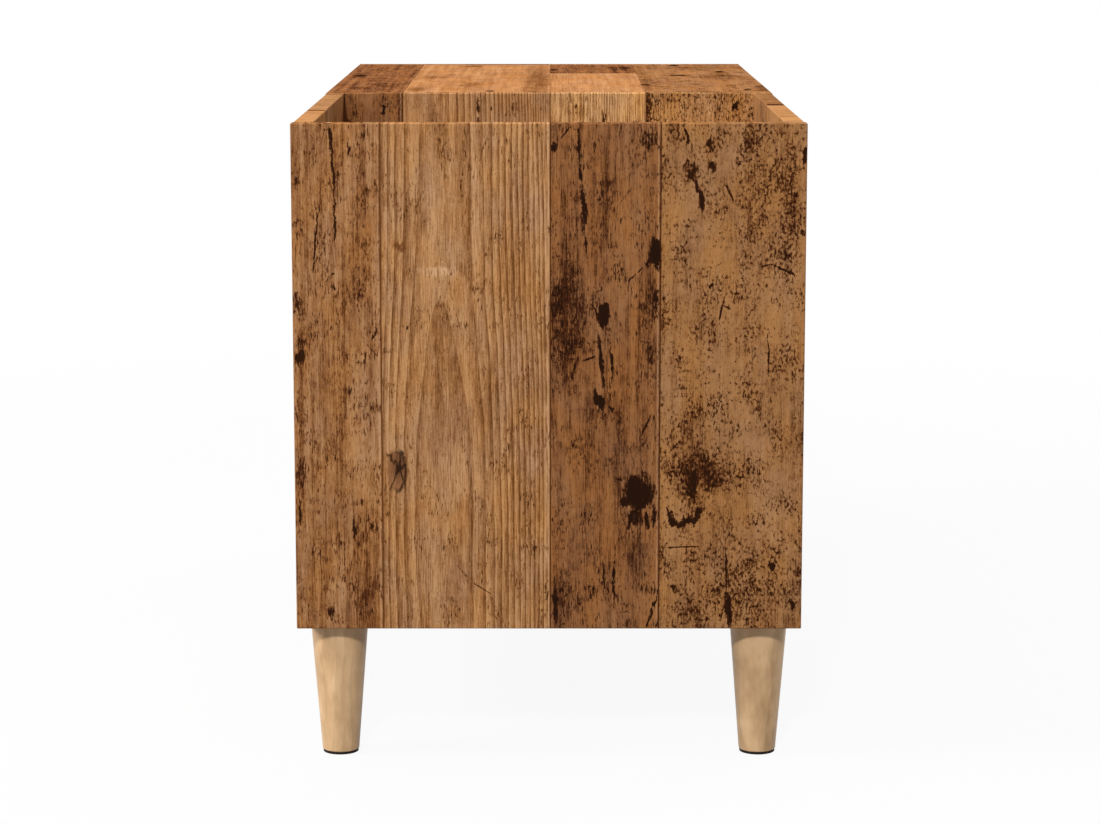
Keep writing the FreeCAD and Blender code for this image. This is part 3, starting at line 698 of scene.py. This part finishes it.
def knot(finish, flat, colour, middle, half_sizes):
    """A dead knot: a red-brown oval with cracks from a dark heart and a dark rim on the right."""
    aside = finish.vector("DOT_PRODUCT", flat, counted_from(middle, (1, 0), half_sizes[0]))
    down = finish.vector("DOT_PRODUCT", flat, counted_from(middle, (0, 1), half_sizes[1]))
    reach = finish.vector("LENGTH", finish.join(aside, down, 0.0))
    inside = finish.fade(reach, *KNOT_EDGE)
    from_heart = finish.minus(aside, HEART_OFF)
    under_heart = finish.plus(down, HEART_OFF)
    heart_reach = finish.vector("LENGTH", finish.join(from_heart, under_heart, 0.0))
    angle = finish.maths("ARCTAN2", under_heart, from_heart)
    angle = finish.times_plus(angle, CRACKS_IN_KNOT / 2, FIRST_CRACK)
    spokes = finish.maths("ABSOLUTE", finish.maths("SINE", angle))
    cracks = finish.fade(finish.times(spokes, heart_reach), *CRACK_EDGE)
    rim = finish.maths("ABSOLUTE", finish.minus(reach, RIM_REACH))
    rim = finish.fade(rim, *RIM_EDGE)
    rim = finish.times(rim, finish.ease(aside, *RIM_SIDE))
    dark = finish.times(finish.larger(cracks, rim), KNOT_DEPTH)
    close = finish.fade(reach, *RIM_END)
    body = finish.blend(finish.ease(heart_reach, *HEART_EDGE), KNOT_HEART, KNOT_WOOD)
    colour = finish.blend(finish.times(inside, KNOT_DEPTH), colour, body)
    return finish.blend(finish.times(dark, close), colour, STAIN)


def leave_raw(finish, place, colour, side):
    """Bare hardboard where the board faces that way, such as "+Y", and the colour elsewhere."""
    axis, sign = axis_and_sign(side)
    turned = finish.times(finish.split(finish.facing)[axis], sign)
    fuzz = finish.ease(finish.noise(place, *LUMPS["hardboard"]), *HARDBOARD_MOTTLE)
    hardboard = finish.blend(fuzz, HARDBOARD_DARK, HARDBOARD_PALE)
    return finish.blend(finish.maths("GREATER_THAN", turned, TURNED_THAT_WAY), colour, hardboard)


print("a knot has", CRACKS_IN_KNOT, "cracks")

# %% [markdown]
# The order of the steps matters, as with paint: wood first, then what wore off it, then what stained
# it. Marks get their torn rims from a wandering place, but a scratch is drawn straight.

# %% Finish a board in old wood
MATT = 0.0
PRINT_ROUGHNESS = 0.75
HAIR_GLOSS = 0.2
FINE_RELIEF = 0.1 * MM
WORN_HAIRS = (0.35, 0.6)
MARK_CUT = (0.64, 1.0)
MARK_DEPTH = 1.1
HAIRS_IN_MARKS = 0.35


def dress(material, *nodes):
    """Gives the pieces this finish."""
    for node in nodes:
        piece = pieces[node]
        if not piece.material_slots:
            piece.data.materials.append(material)
        for slot in piece.material_slots:
            slot.material = material
    print(material.name, "on", len(nodes), "piece(s)")


def old_wood(node, across, along, into, start=(0.0, 0.0), pattern=PATTERN, joints=(), seed=0.0,
             arch_tip=1400.0, marks=(), scratches=(), tints=(), worn=(), knots=(), raw_side=None,
             seams=0.6, cast=(1.0, 1.0, 1.0)):
    """The old-wood print of one board. across, along and into are directions such as "+Y"."""
    finish = Finish("old_wood_" + node)
    across, along, depth = lay_print(finish, node, across, along, into, start)
    layout = lay_planks(finish, across, along, pattern, joints, seed)
    plank_seed = pick(finish, layout, lambda plank: plank["seed"])
    place = finish.join(across, finish.plus(along, plank_seed), depth)
    flat = ragged(finish, place, across, along)
    tint = finish.larger(gather(finish, flat, tints), 0.0)
    tone, hairs = grain(finish, layout, place, across, along, arch_tip, tint)
    lower, upper = finish.halves(tone)
    colour = pick(finish, layout, quality("dark"))
    colour = finish.blend(lower, colour, pick(finish, layout, quality("middle")))
    colour = finish.blend(upper, colour, pick(finish, layout, quality("pale")))
    colour = drift_of_hue(finish, place, colour, cast)
    if worn:
        pale = gather(finish, flat, worn)
        pale = finish.times(pale, finish.ease(hairs, *WORN_HAIRS), clamp=True)
        colour = finish.blend(pale, colour, WORN)
    for middle, half_sizes in knots:
        colour = knot(finish, flat, colour, middle, half_sizes)
    seam, beside_seam = seam_lines(finish, layout, across)
    colour = finish.blend(finish.times(beside_seam, seams / 2), colour, WORN)
    marked = gather(finish, flat, marks)
    if scratches:
        straight = finish.join(across, along, 1.0)
        marked = finish.larger(marked, gather(finish, straight, scratches))
    dark = finish.plus(flecks(finish, layout, place, tint), marked)
    dark = finish.ease(dark, *MARK_CUT)
    dark = finish.larger(dark, finish.times(seam, seams))
    broken = finish.times_plus(hairs, -HAIRS_IN_MARKS, MARK_DEPTH)
    colour = darken(finish, colour, layout, finish.times(dark, broken, clamp=True))
    if raw_side:
        colour = leave_raw(finish, finish.join(across, along, depth), colour, raw_side)
    gloss = finish.times_plus(hairs, -HAIR_GLOSS, PRINT_ROUGHNESS)
    dress(finish.surface(colour, gloss, height=hairs, relief=FINE_RELIEF, specular=MATT), node)


# %% [markdown]
# ## The near end panel
#
# This is the board that the photograph shows best. Its print runs upright, and the marks are placed by
# their distance in mm from the panel's left edge and its top edge. The strong ones are the nail stains
# of the red plank, the long crack beside them, the knot in the tan plank and the ragged stain low on
# the right. A tint is a broad brown shade, and a worn place a pale one.

# %% Finish the near end panel
END_MARKS = [
    crack((29, 1), (30.6, 24), 1.5, 0.6),
    crack((30, 18), (31.8, 50), 1.3, 0.5),
    crack((31.6, 46), (32.6, 98), 0.9, 0.6),
    crack((22.4, 36), (19.7, 72), 0.6, 0.4),
    crack((19.8, 68), (15.2, 114), 0.9, 0.6),
    spot(30.6, 110, 1.2, 2, 0.5),
    spot(31.8, 122, 1.4, 3.2, 0.5),
    spot(43.2, 17.8, 1.6, 3.4, 0.5),
    spot(4.8, 44, 2, 4.5, 0.4),
    spot(5, 75, 4.5, 4.5, 0.2),
    spot(5, 134, 5.5, 13, 0.22),
    spot(5, 160, 5, 10, 0.25),
    spot(5.2, 172, 4.4, 7, 0.6),
    spot(54.6, 8, 3.5, 9, 0.14),
    spot(54.6, 56, 4, 22, 0.14),
    spot(53, 177, 1, 9, 0.3),
    spot(4, 292, 1.3, 14, 0.5),
    spot(6, 258, 6, 16, 0.17),
    spot(44.6, 303, 1.8, 11, 0.5),
    spot(50, 284, 1.2, 5, 0.3),
    spot(26, 367, 3.5, 8, 0.25),
    spot(20, 350, 1.6, 3.5, 0.3),
    crack((128.9, 1), (127.5, 30), 1.6, 0.22),
    crack((127.5, 28), (123.8, 50), 1.3, 0.2),
    crack((143, 12), (138, 34), 0.9, 0.25),
    crack((138, 32), (142, 58), 0.8, 0.22),
    crack((118, 6), (110, 24), 1.2, 0.2),
    spot(179, 318, 1.2, 9, 0.4),
    spot(188, 352, 1.2, 12, 0.25),
    spot(84.5, 153, 1.2, 2, 0.3),
    spot(83.5, 162, 1.2, 2, 0.3),
    spot(193.8, 16, 3.2, 5, 0.6),
    crack((211.1, 0), (212.4, 30), 1.2, 0.5),
    crack((212.3, 28), (214.4, 46), 1.6, 0.6),
    crack((214.3, 44), (216.9, 82), 2.4, 0.45),
    crack((216.9, 78), (217.6, 102), 1.4, 0.4),
    spot(224, 17, 1.6, 3.5, 0.3),
    spot(243, 68, 6, 6, 0.16),
    spot(264, 9, 9, 9, 0.18),
    spot(268.6, 96, 5.2, 11, 0.8),
    spot(264, 102, 4, 5, 0.4),
    spot(268, 132, 4, 24, 0.2),
    spot(266, 172, 3, 26, 0.18),
    spot(203, 146, 15, 58, 0.08),
    spot(229.8, 141.6, 5.6, 9.5, 0.8, lean=8),
    crack((221, 134), (227.5, 141), 1.2, 0.5),
    crack((226.5, 152), (231.5, 197), 1.8, 0.5),
    crack((235.7, 158), (237.4, 195), 1, 0.45),
    spot(227.2, 206.2, 4.8, 8.6, 0.85, lean=20),
    spot(236.5, 212, 2.6, 3.2, 0.4),
    spot(259, 275, 14, 16, 0.75),
    crack((255, 286), (249, 304), 2, 0.5),
    crack((262, 287), (264, 302), 2, 0.5),
    crack((247, 268), (239, 261), 1.6, 0.4),
    spot(247, 284, 5, 5, 0.4),
    spot(257, 293, 6, 10, 0.35),
    spot(268, 294, 1.8, 13, 0.3),
    crack((239.5, 317), (238.3, 364), 1, 0.5),
    crack((231.5, 324), (231.3, 353), 0.9, 0.35),
    spot(194.5, 360, 2.6, 22, 0.4),
    spot(222, 352, 7, 11, 0.18),
    crack((272, 350), (263, 380), 1.4, 0.45),
    crack((289, 2), (293, 15), 1.6, 0.45),
    spot(308, 16, 2.8, 4.2, 0.35),
    spot(309.9, 30, 4.2, 4.6, 0.5),
    spot(294, 37, 7.5, 10.5, 0.34),
    crack((295, 40), (302, 55), 2.8, 0.3),
    crack((301.5, 50), (304, 69), 2.2, 0.5),
    spot(329, 27, 3.2, 3.6, 0.28),
    spot(352, 38, 7, 9, 0.15),
    spot(372, 53, 3.2, 6, 0.22),
    spot(378, 25, 2.4, 8.5, 0.5),
    spot(376.5, 80, 4, 3, 0.35),
    spot(310, 118, 2.2, 1.8, 0.4),
    spot(300, 120, 4, 1.6, 0.22),
    crack((352, 150), (354, 190), 0.9, 0.4),
    spot(300, 246, 26, 54, 0.1),
    crack((277.6, 287), (287, 304), 3, 0.6),
    crack((285, 304), (309, 286), 4.2, 0.6),
    spot(298, 268, 7, 14, 0.4),
    spot(302, 262, 21, 24, 0.22),
    crack((322.5, 318), (324, 355), 0.9, 0.6),
    crack((323.5, 348), (326.5, 384), 3.6, 0.5),
    spot(357.7, 328.7, 3.6, 4.6, 0.6),
    spot(350.5, 332, 4, 2.6, 0.3),
    spot(284, 347, 5, 4, 0.35),
    spot(346, 348, 6, 4.5, 0.25),
    spot(340, 360, 10, 14, 0.17),
    spot(373, 360, 2.6, 5.4, 0.6),
    spot(376, 335, 4, 7.5, 0.3),
    spot(330, 350, 58, 46, 0.12),
    spot(352, 56, 30, 74, 0.09),
]
END_SCRATCHES = [
    crack((54, 163), (65, 175), 0.6, 0.3),
    crack((119, 329), (131.4, 343.5), 0.8, 0.42),
    crack((130.5, 343), (148.6, 354.5), 0.8, 0.42),
    crack((197, 13), (206, 2), 0.9, 0.35),
    crack((240, 62), (251, 47), 0.8, 0.25),
    crack((263, 103), (247, 118), 0.9, 0.35),
    crack((213, 177), (226, 172), 1.1, 0.4),
    crack((267, 215), (258, 234), 1, 0.35),
    crack((318.6, 133), (316, 147), 1, 0.6),
    crack((318, 134), (326, 138), 1, 0.4),
    crack((319, 41), (327, 60), 1.4, 0.4),
    crack((275, 317.7), (306, 316.5), 0.8, 0.4),
    crack((345, 106), (356, 103.5), 0.9, 0.4),
    crack((354, 103.5), (374, 113), 1, 0.4),
    crack((279, 246), (292, 232), 0.8, 0.3),
    crack((285, 262), (303, 240), 0.8, 0.3),
    crack((293, 276), (316, 248), 0.8, 0.3),
    crack((63, 152), (58, 162), 0.6, 0.3),
]
END_TINTS = [
    spot(79, 91.2, 6.2, 3.8, 1),
    spot(112, 178, 9, 54, 0.16),
    spot(116, 362, 8, 26, 0.32),
    crack((128.9, 0), (124, 60), 4, 0.35),
    crack((345, 106), (358, 104), 2, 0.4),
    crack((356, 103), (374, 113), 2, 0.4),
    spot(203, 146, 18, 66, 0.62),
    crack((77.5, 20), (76.5, 235), 2.2, 0.28),
    crack((94, 0), (89.5, 150), 1.7, 0.3),
    crack((84, 150), (82, 240), 1.8, 0.25),
    crack((128, 60), (141, 190), 2, 0.28),
    crack((141, 190), (147, 380), 2, 0.25),
    spot(168, 230, 24, 210, 0.12),
    spot(112, 10, 7, 45, 0.15),
    spot(256, 325, 10, 26, 0.35),
    spot(300, 252, 22, 44, 0.16),
    spot(200, 360, 9, 30, 0.35),
    spot(52, 330, 16, 60, 0.22),
]
END_KNOTS = [((76.0, 260.5), (8.6, 17.5))]
END_WORN = [
    spot(108, 108, 17, 5.5, 1.1, lean=-8),
    spot(104, 120, 10, 9, 0.3),
    spot(122, 260, 22, 30, 0.3),
    spot(96, 330, 14, 40, 0.25),
    crack((70.5, 0), (70.5, 230), 3, 0.3),
    crack((188.6, 0), (188.6, 380), 1.1, 0.6),
    spot(136, 60, 5, 60, 0.3),
    spot(104, 60, 6, 50, 0.25),
]
old_wood(
    "end_panel_bin", "+Y", "-Z", "-X", arch_tip=124.0, marks=END_MARKS, scratches=END_SCRATCHES,
    tints=END_TINTS, worn=END_WORN, knots=END_KNOTS,
)

# %% [markdown]
# ## The other boards
#
# The photograph shows a little of the top, the divider and the bin's sides: mostly the same kinds of
# plank, in another order on each. Marks that it doesn't show are drawn by lot, with a fixed seed for
# each board, in the manner of each plank: cracks and edge stains on the brown one, few and fine cracks
# on the pale ones, black stains on the red one and clusters of specks on the speckled ones, the weaker
# the wider.

# %% Draw marks by lot
MARKS_PER_METRE = {
    "brown": 16, "tan": 7, "red": 20, "speckled": 26, "straw": 6, "ribbed": 6, "peppered": 26,
    "side tan": 7,
}
CRACKED_ONLY = ("tan", "straw", "ribbed", "side tan")
CRACKS_ON_BROWN = 0.7
STAINS_ON_RED = 0.45
CLEAR_OF_EDGE = 4
SCALES = (0.5, 1.5)
FINE_CRACK = {"drift": 4, "length": 40, "half_width": (0.6, 0.6), "strength": (0.2, 0.45)}
RED_CRACK = {"drift": 6, "length": 45, "half_width": (0.0, 1.4), "strength": (0.3, 0.5)}
RED_STAIN = (5, 9)
RED_STAIN_STRENGTH = 0.9
RED_STAIN_LEAN = 20
EDGE_STAIN = (4, 12)
EDGE_STAIN_PLACE = 5
EDGE_STAIN_STRENGTH = (0.15, 0.5)
CLUSTER = (1.4, 2.0)
CLUSTER_STRENGTHS = (0.1, 0.13, 0.16, 0.3, 0.5)


def crack_by_lot(lot, start, scale, drift, length, half_width, strength):
    """A crack down from start, whose end drifts aside. Its half width is one part fixed, one scaled."""
    end = (start[0] + lot.uniform(-drift, drift), start[1] + length * scale)
    return crack(start, end, half_width[0] + half_width[1] * scale, lot.uniform(*strength))


def scaled(half_sizes, scale):
    return [half_size * scale for half_size in half_sizes]


def mark_by_lot(lot, kind, left, across, along, scale):
    """One mark in the manner of that kind of plank, whose own edge is at left."""
    if kind in CRACKED_ONLY or (kind == "brown" and lot.random() < CRACKS_ON_BROWN):
        return crack_by_lot(lot, (across, along), scale, **FINE_CRACK)
    if kind == "brown":
        across = left + EDGE_STAIN_PLACE
        return spot(across, along, *scaled(EDGE_STAIN, scale), lot.uniform(*EDGE_STAIN_STRENGTH))
    if kind == "red" and lot.random() < STAINS_ON_RED:
        lean = lot.uniform(-RED_STAIN_LEAN, RED_STAIN_LEAN)
        return spot(across, along, *scaled(RED_STAIN, scale), RED_STAIN_STRENGTH, lean)
    if kind == "red":
        return crack_by_lot(lot, (across, along), scale, **RED_CRACK)
    strength = lot.choice(CLUSTER_STRENGTHS)
    return spot(across, along, *scaled(CLUSTER, scale / strength), strength)


def lot_of_marks(name, length, start=0.0, pattern=PATTERN):
    """Marks for every plank of a board that is length mm long, always the same for the same name."""
    lot = random.Random(name)
    marks = []
    left = 0.0
    for kind, width in zip(pattern, PLANK_WIDTHS):
        for _ in range(round(MARKS_PER_METRE[kind] * length * MM)):
            across = lot.uniform(left + CLEAR_OF_EDGE, left + width - CLEAR_OF_EDGE)
            along = start + lot.uniform(0, length)
            marks.append(mark_by_lot(lot, kind, left, across, along, lot.uniform(*SCALES)))
        left += width
    return marks


print("marks on a half metre board:", len(lot_of_marks("sample", 500)))

# %% [markdown]
# The divider shows only its upper part above the bin, the top its whole face at a shallow angle, and
# the bin's side panels mostly their rims. On those rims the upright planks are cut across, which is why
# they look banded. A tint centred just above a rim shades the rim alone. One of the top's straw planks
# ends at a joint, and a red one goes on.

# %% Finish the divider, the top and the bin's sides
DIVIDER_PATTERN = ("red", "side tan", "ribbed", "peppered")
DIVIDER_MARKS = [
    spot(49, 15, 2.5, 3, 0.6),
    crack((129, 2), (130, 30), 2.2, 0.4),
    spot(141, 12, 3, 5, 0.4),
    crack((235, 14), (237, 28), 0.9, 0.5),
    crack((239, 12), (236, 24), 0.8, 0.5),
    spot(347.5, 13, 3.4, 3.8, 0.5),
]
DIVIDER_TINTS = [
    spot(60, 10, 8, 30, 0.2),
    spot(274, 10, 3, 60, 0.5),
]
old_wood(
    "divider_panel", "+Y", "-Z", "-X", pattern=DIVIDER_PATTERN, seed=910.0, tints=DIVIDER_TINTS,
    marks=DIVIDER_MARKS + lot_of_marks("divider", 320, start=45, pattern=DIVIDER_PATTERN),
)

TOP_PATTERN = ("red", "straw", "straw", "speckled")
TOP_CAST = (1.03, 0.97, 0.97)
TOP_JOINTS = [(2, "red", 676.0)]
FROM_NEAR_END = (NEAR_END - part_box("top_panel")[1].x) / MM
TOP_MARKS = [
    spot(13.6, 638, 6, 16, 0.5),
    spot(139, 396, 6, 10, 0.6),
    crack((192, 680), (271, 680), 3, 0.5),
    spot(264, 773, 6, 16, 0.8),
    spot(195, 741, 5, 14, 0.8),
    spot(353, 704, 5, 14, 0.7),
    spot(311, 640, 9, 10, 0.5),
    spot(353, 630, 4, 9, 0.6),
    spot(274.6, 489, 4, 10, 0.7),
    spot(361.6, 415, 4, 9, 0.7),
    spot(315, 820, 5, 14, 0.7),
]
TOP_TINTS = [
    spot(128, 600, 90, 400, 0.1),
    spot(40, 480, 26, 110, 0.26),
    spot(14, 650, 12, 60, 0.3),
    spot(115, 803, 12, 22, 0.9),
    spot(120, 480, 13, 60, 0.6),
    spot(84, 610, 16, 40, 0.6),
    spot(75, 415, 9, 40, 0.7),
    spot(178, 560, 17, 330, 0.62),
    spot(258, 765, 14, 60, 0.4),
    spot(278, 520, 10, 120, 0.25),
    spot(345, 620, 26, 60, 0.25),
    spot(330, 780, 60, 50, 0.15),
    spot(378, 430, 9, 60, 0.5),
]
old_wood(
    "top_panel", "+Y", "-X", "-Z", start=(0.0, FROM_NEAR_END), pattern=TOP_PATTERN, seed=1700.0,
    joints=TOP_JOINTS, marks=TOP_MARKS, tints=TOP_TINTS, seams=0.2, cast=TOP_CAST,
)

BIN_FRONT_PATTERN = ("brown", "tan", "tan", "straw")
BIN_FRONT_TINTS = [spot(266, -8, 8, 20, 1.0)]
old_wood(
    "bin_front_panel", "+X", "-Z", "+Y", start=(45.5, 0.0), pattern=BIN_FRONT_PATTERN, seed=2600.0,
    marks=lot_of_marks("bin front", 365, pattern=BIN_FRONT_PATTERN), tints=BIN_FRONT_TINTS,
)

BIN_BACK_PATTERN = ("straw", "straw", "brown", "tan")
BIN_BACK_TINTS = [spot(199, -8, 13, 20, 1.0), spot(300, -8, 70, 20, 0.3)]
old_wood(
    "bin_back_panel", "-X", "-Z", "-Y", pattern=BIN_BACK_PATTERN, seed=3500.0,
    marks=lot_of_marks("bin back", 365, pattern=BIN_BACK_PATTERN), tints=BIN_BACK_TINTS,
)

# %% [markdown]
# The photograph shows nothing of the last three boards, so their marks are all drawn by lot. The bay's
# back is thin hardboard, printed on the inside and bare on the outside.

# %% Finish the far end, the bottom and the bay's back
old_wood("end_panel_bay", "-Y", "-Z", "+X", seed=4400.0, marks=lot_of_marks("far end", 380))
old_wood("bottom_panel", "+Y", "-X", "-Z", seed=5300.0, marks=lot_of_marks("bottom", 820))
bay_marks = lot_of_marks("bay back", 365)
old_wood("bay_back_panel", "+X", "-Z", "+Y", seed=6200.0, marks=bay_marks, raw_side="+Y")

# %% [markdown]
# ## Legs
#
# The legs are turned from pale solid wood. Solid wood differs from a print: the rings run through it,
# so the taper cuts them into long arches by itself. The finish counts rings by the distance from a
# heart that stands beside the leg, and each leg has its heart elsewhere.

# %% Finish the legs
RINGS_PER_MM = 0.14
LEG_LUMPS = {
    "bend": ((26, 26, 70), 2, 0.5),
    "patches": ((14, 14, 28), 3, 0.5),
    "fibres": ((0.8, 0.8, 14), 2, 0.6),
}
LEG_RING_BEND = 3.0
LEG_RING_SHARPNESS = 2.0
LEG_PLAIN_TONE = -0.38
LEG_PATCH_DEPTH = 1.5
LEG_RING_DEPTH = 0.16
LEG_FIBRE_DEPTH = 0.3
LEG_ROUGHNESS = 0.5
LEG_FIBRE_GLOSS = 0.15
LEG_SHEEN = 0.4
CORNERS = ("front_bin", "back_bin", "front_bay", "back_bay")
HEART_AWAY = 0.06
FIRST_TURN = 70
NEXT_TURN = 97


def pale_wood(name, heart, pale, middle, dark):
    """Solid pale wood with its grain upright. heart is the place of the tree's heart, in metres."""
    finish = Finish(name)
    sides = finish.split(finish.place)
    x = finish.times_plus(sides[0], 1 / MM, -heart[0] / MM)
    y = finish.times_plus(sides[1], 1 / MM, -heart[1] / MM)
    z = finish.times(sides[2], 1 / MM)
    place = finish.join(x, y, z)
    distance = finish.maths("SQRT", finish.times_plus(x, x, finish.times(y, y)))
    bend = finish.times(finish.noise(place, *LEG_LUMPS["bend"]), LEG_RING_BEND)
    count = finish.times_plus(distance, RINGS_PER_MM, bend)
    rings = finish.maths("POWER", finish.maths("FRACT", count), LEG_RING_SHARPNESS)
    patches = finish.noise(place, *LEG_LUMPS["patches"])
    fibres = finish.noise(place, *LEG_LUMPS["fibres"])
    tone = finish.times_plus(patches, LEG_PATCH_DEPTH, LEG_PLAIN_TONE)
    tone = finish.times_plus(rings, -LEG_RING_DEPTH, tone)
    tone = finish.times_plus(fibres, LEG_FIBRE_DEPTH, tone, clamp=True)
    lower, upper = finish.halves(tone)
    colour = finish.blend(upper, finish.blend(lower, dark, middle), pale)
    gloss = finish.times_plus(fibres, -LEG_FIBRE_GLOSS, LEG_ROUGHNESS)
    return finish.surface(colour, gloss, height=fibres, relief=FINE_RELIEF, specular=LEG_SHEEN)


LEG_COLOURS = (paint(232, 196, 153), paint(204, 166, 123), paint(170, 134, 94))
for number, corner in enumerate(CORNERS):
    low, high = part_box("leg_" + corner)
    middle = (low + high) / 2
    turn = math.radians(FIRST_TURN + NEXT_TURN * number)
    beside = (HEART_AWAY * math.cos(turn), HEART_AWAY * math.sin(turn))
    heart = (middle.x + beside[0], middle.y + beside[1])
    dress(pale_wood("leg_wood_" + corner, heart, *LEG_COLOURS), "leg_" + corner)

# %% [markdown]
# ## Pads and hardware
#
# The foot pads are thin black felt, with hardly any gloss and a slight mottle. The cam locks are cast
# zinc and the bolts plated steel: both are metal, but the casting is duller and grainier. The dowels
# are beech, finished as the legs are.

# %% Finish the pads and the hardware
STEEL_PIECES = ("cam_bolts", "hanger_bolt", "insert_nut", "screws")
DOWEL_COLOURS = (paint(232, 200, 160), paint(212, 176, 132), paint(184, 146, 104))
TREE_HEART = (0.7, 0.5)
TUFTS = ((0.5, 0.5, 0.5), 3, 0.7)
FELT_COLOURS = (paint(14, 11, 9), paint(46, 38, 32))
FELT_ROUGHNESS = 0.95
FELT_RELIEF = 0.3 * MM
FELT_SHEEN = 0.2
MOTTLE = (4, 0.6)
MOTTLE_GLOSS = 0.2


def black_felt():
    finish = Finish("black_felt")
    tufts = finish.noise(finish.place_in_mm(), *TUFTS)
    colour = finish.blend(tufts, *FELT_COLOURS)
    return finish.surface(colour, FELT_ROUGHNESS, tufts, FELT_RELIEF, specular=FELT_SHEEN)


def metal(name, dull, bright, roughness, grain_size):
    """Zinc or plated steel, with a mottle of that size in mm."""
    finish = Finish(name)
    mottle = finish.noise(finish.place_in_mm(), (grain_size, grain_size, grain_size), *MOTTLE)
    colour = finish.blend(mottle, dull, bright)
    gloss = finish.times_plus(mottle, MOTTLE_GLOSS, roughness - MOTTLE_GLOSS / 2)
    return finish.surface(colour, gloss, height=mottle, relief=FINE_RELIEF, metallic=1.0)


def named(*words):
    """The pieces whose name holds one of the words."""
    return [name for name in pieces if any(word in name for word in words)]


dress(black_felt(), *named("foot_pad"))
zinc = metal("cast_zinc", paint(150, 152, 155), paint(196, 198, 200), roughness=0.45, grain_size=0.9)
dress(zinc, *named("cam_locks"))
steel = metal("plated_steel", paint(168, 168, 164), paint(214, 213, 208), roughness=0.3, grain_size=2.5)
dress(steel, *named(*STEEL_PIECES))
dress(pale_wood("beech_dowel", TREE_HEART, *DOWEL_COLOURS), *named("dowels"))

# %% [markdown]
# ## Last look
#
# At the end the script names any piece that doesn't carry exactly one finish.

# %% List the pieces without one finish
bare = [name for name, piece in pieces.items() if len(piece.material_slots) != 1]
print("pieces without one finish:", bare)
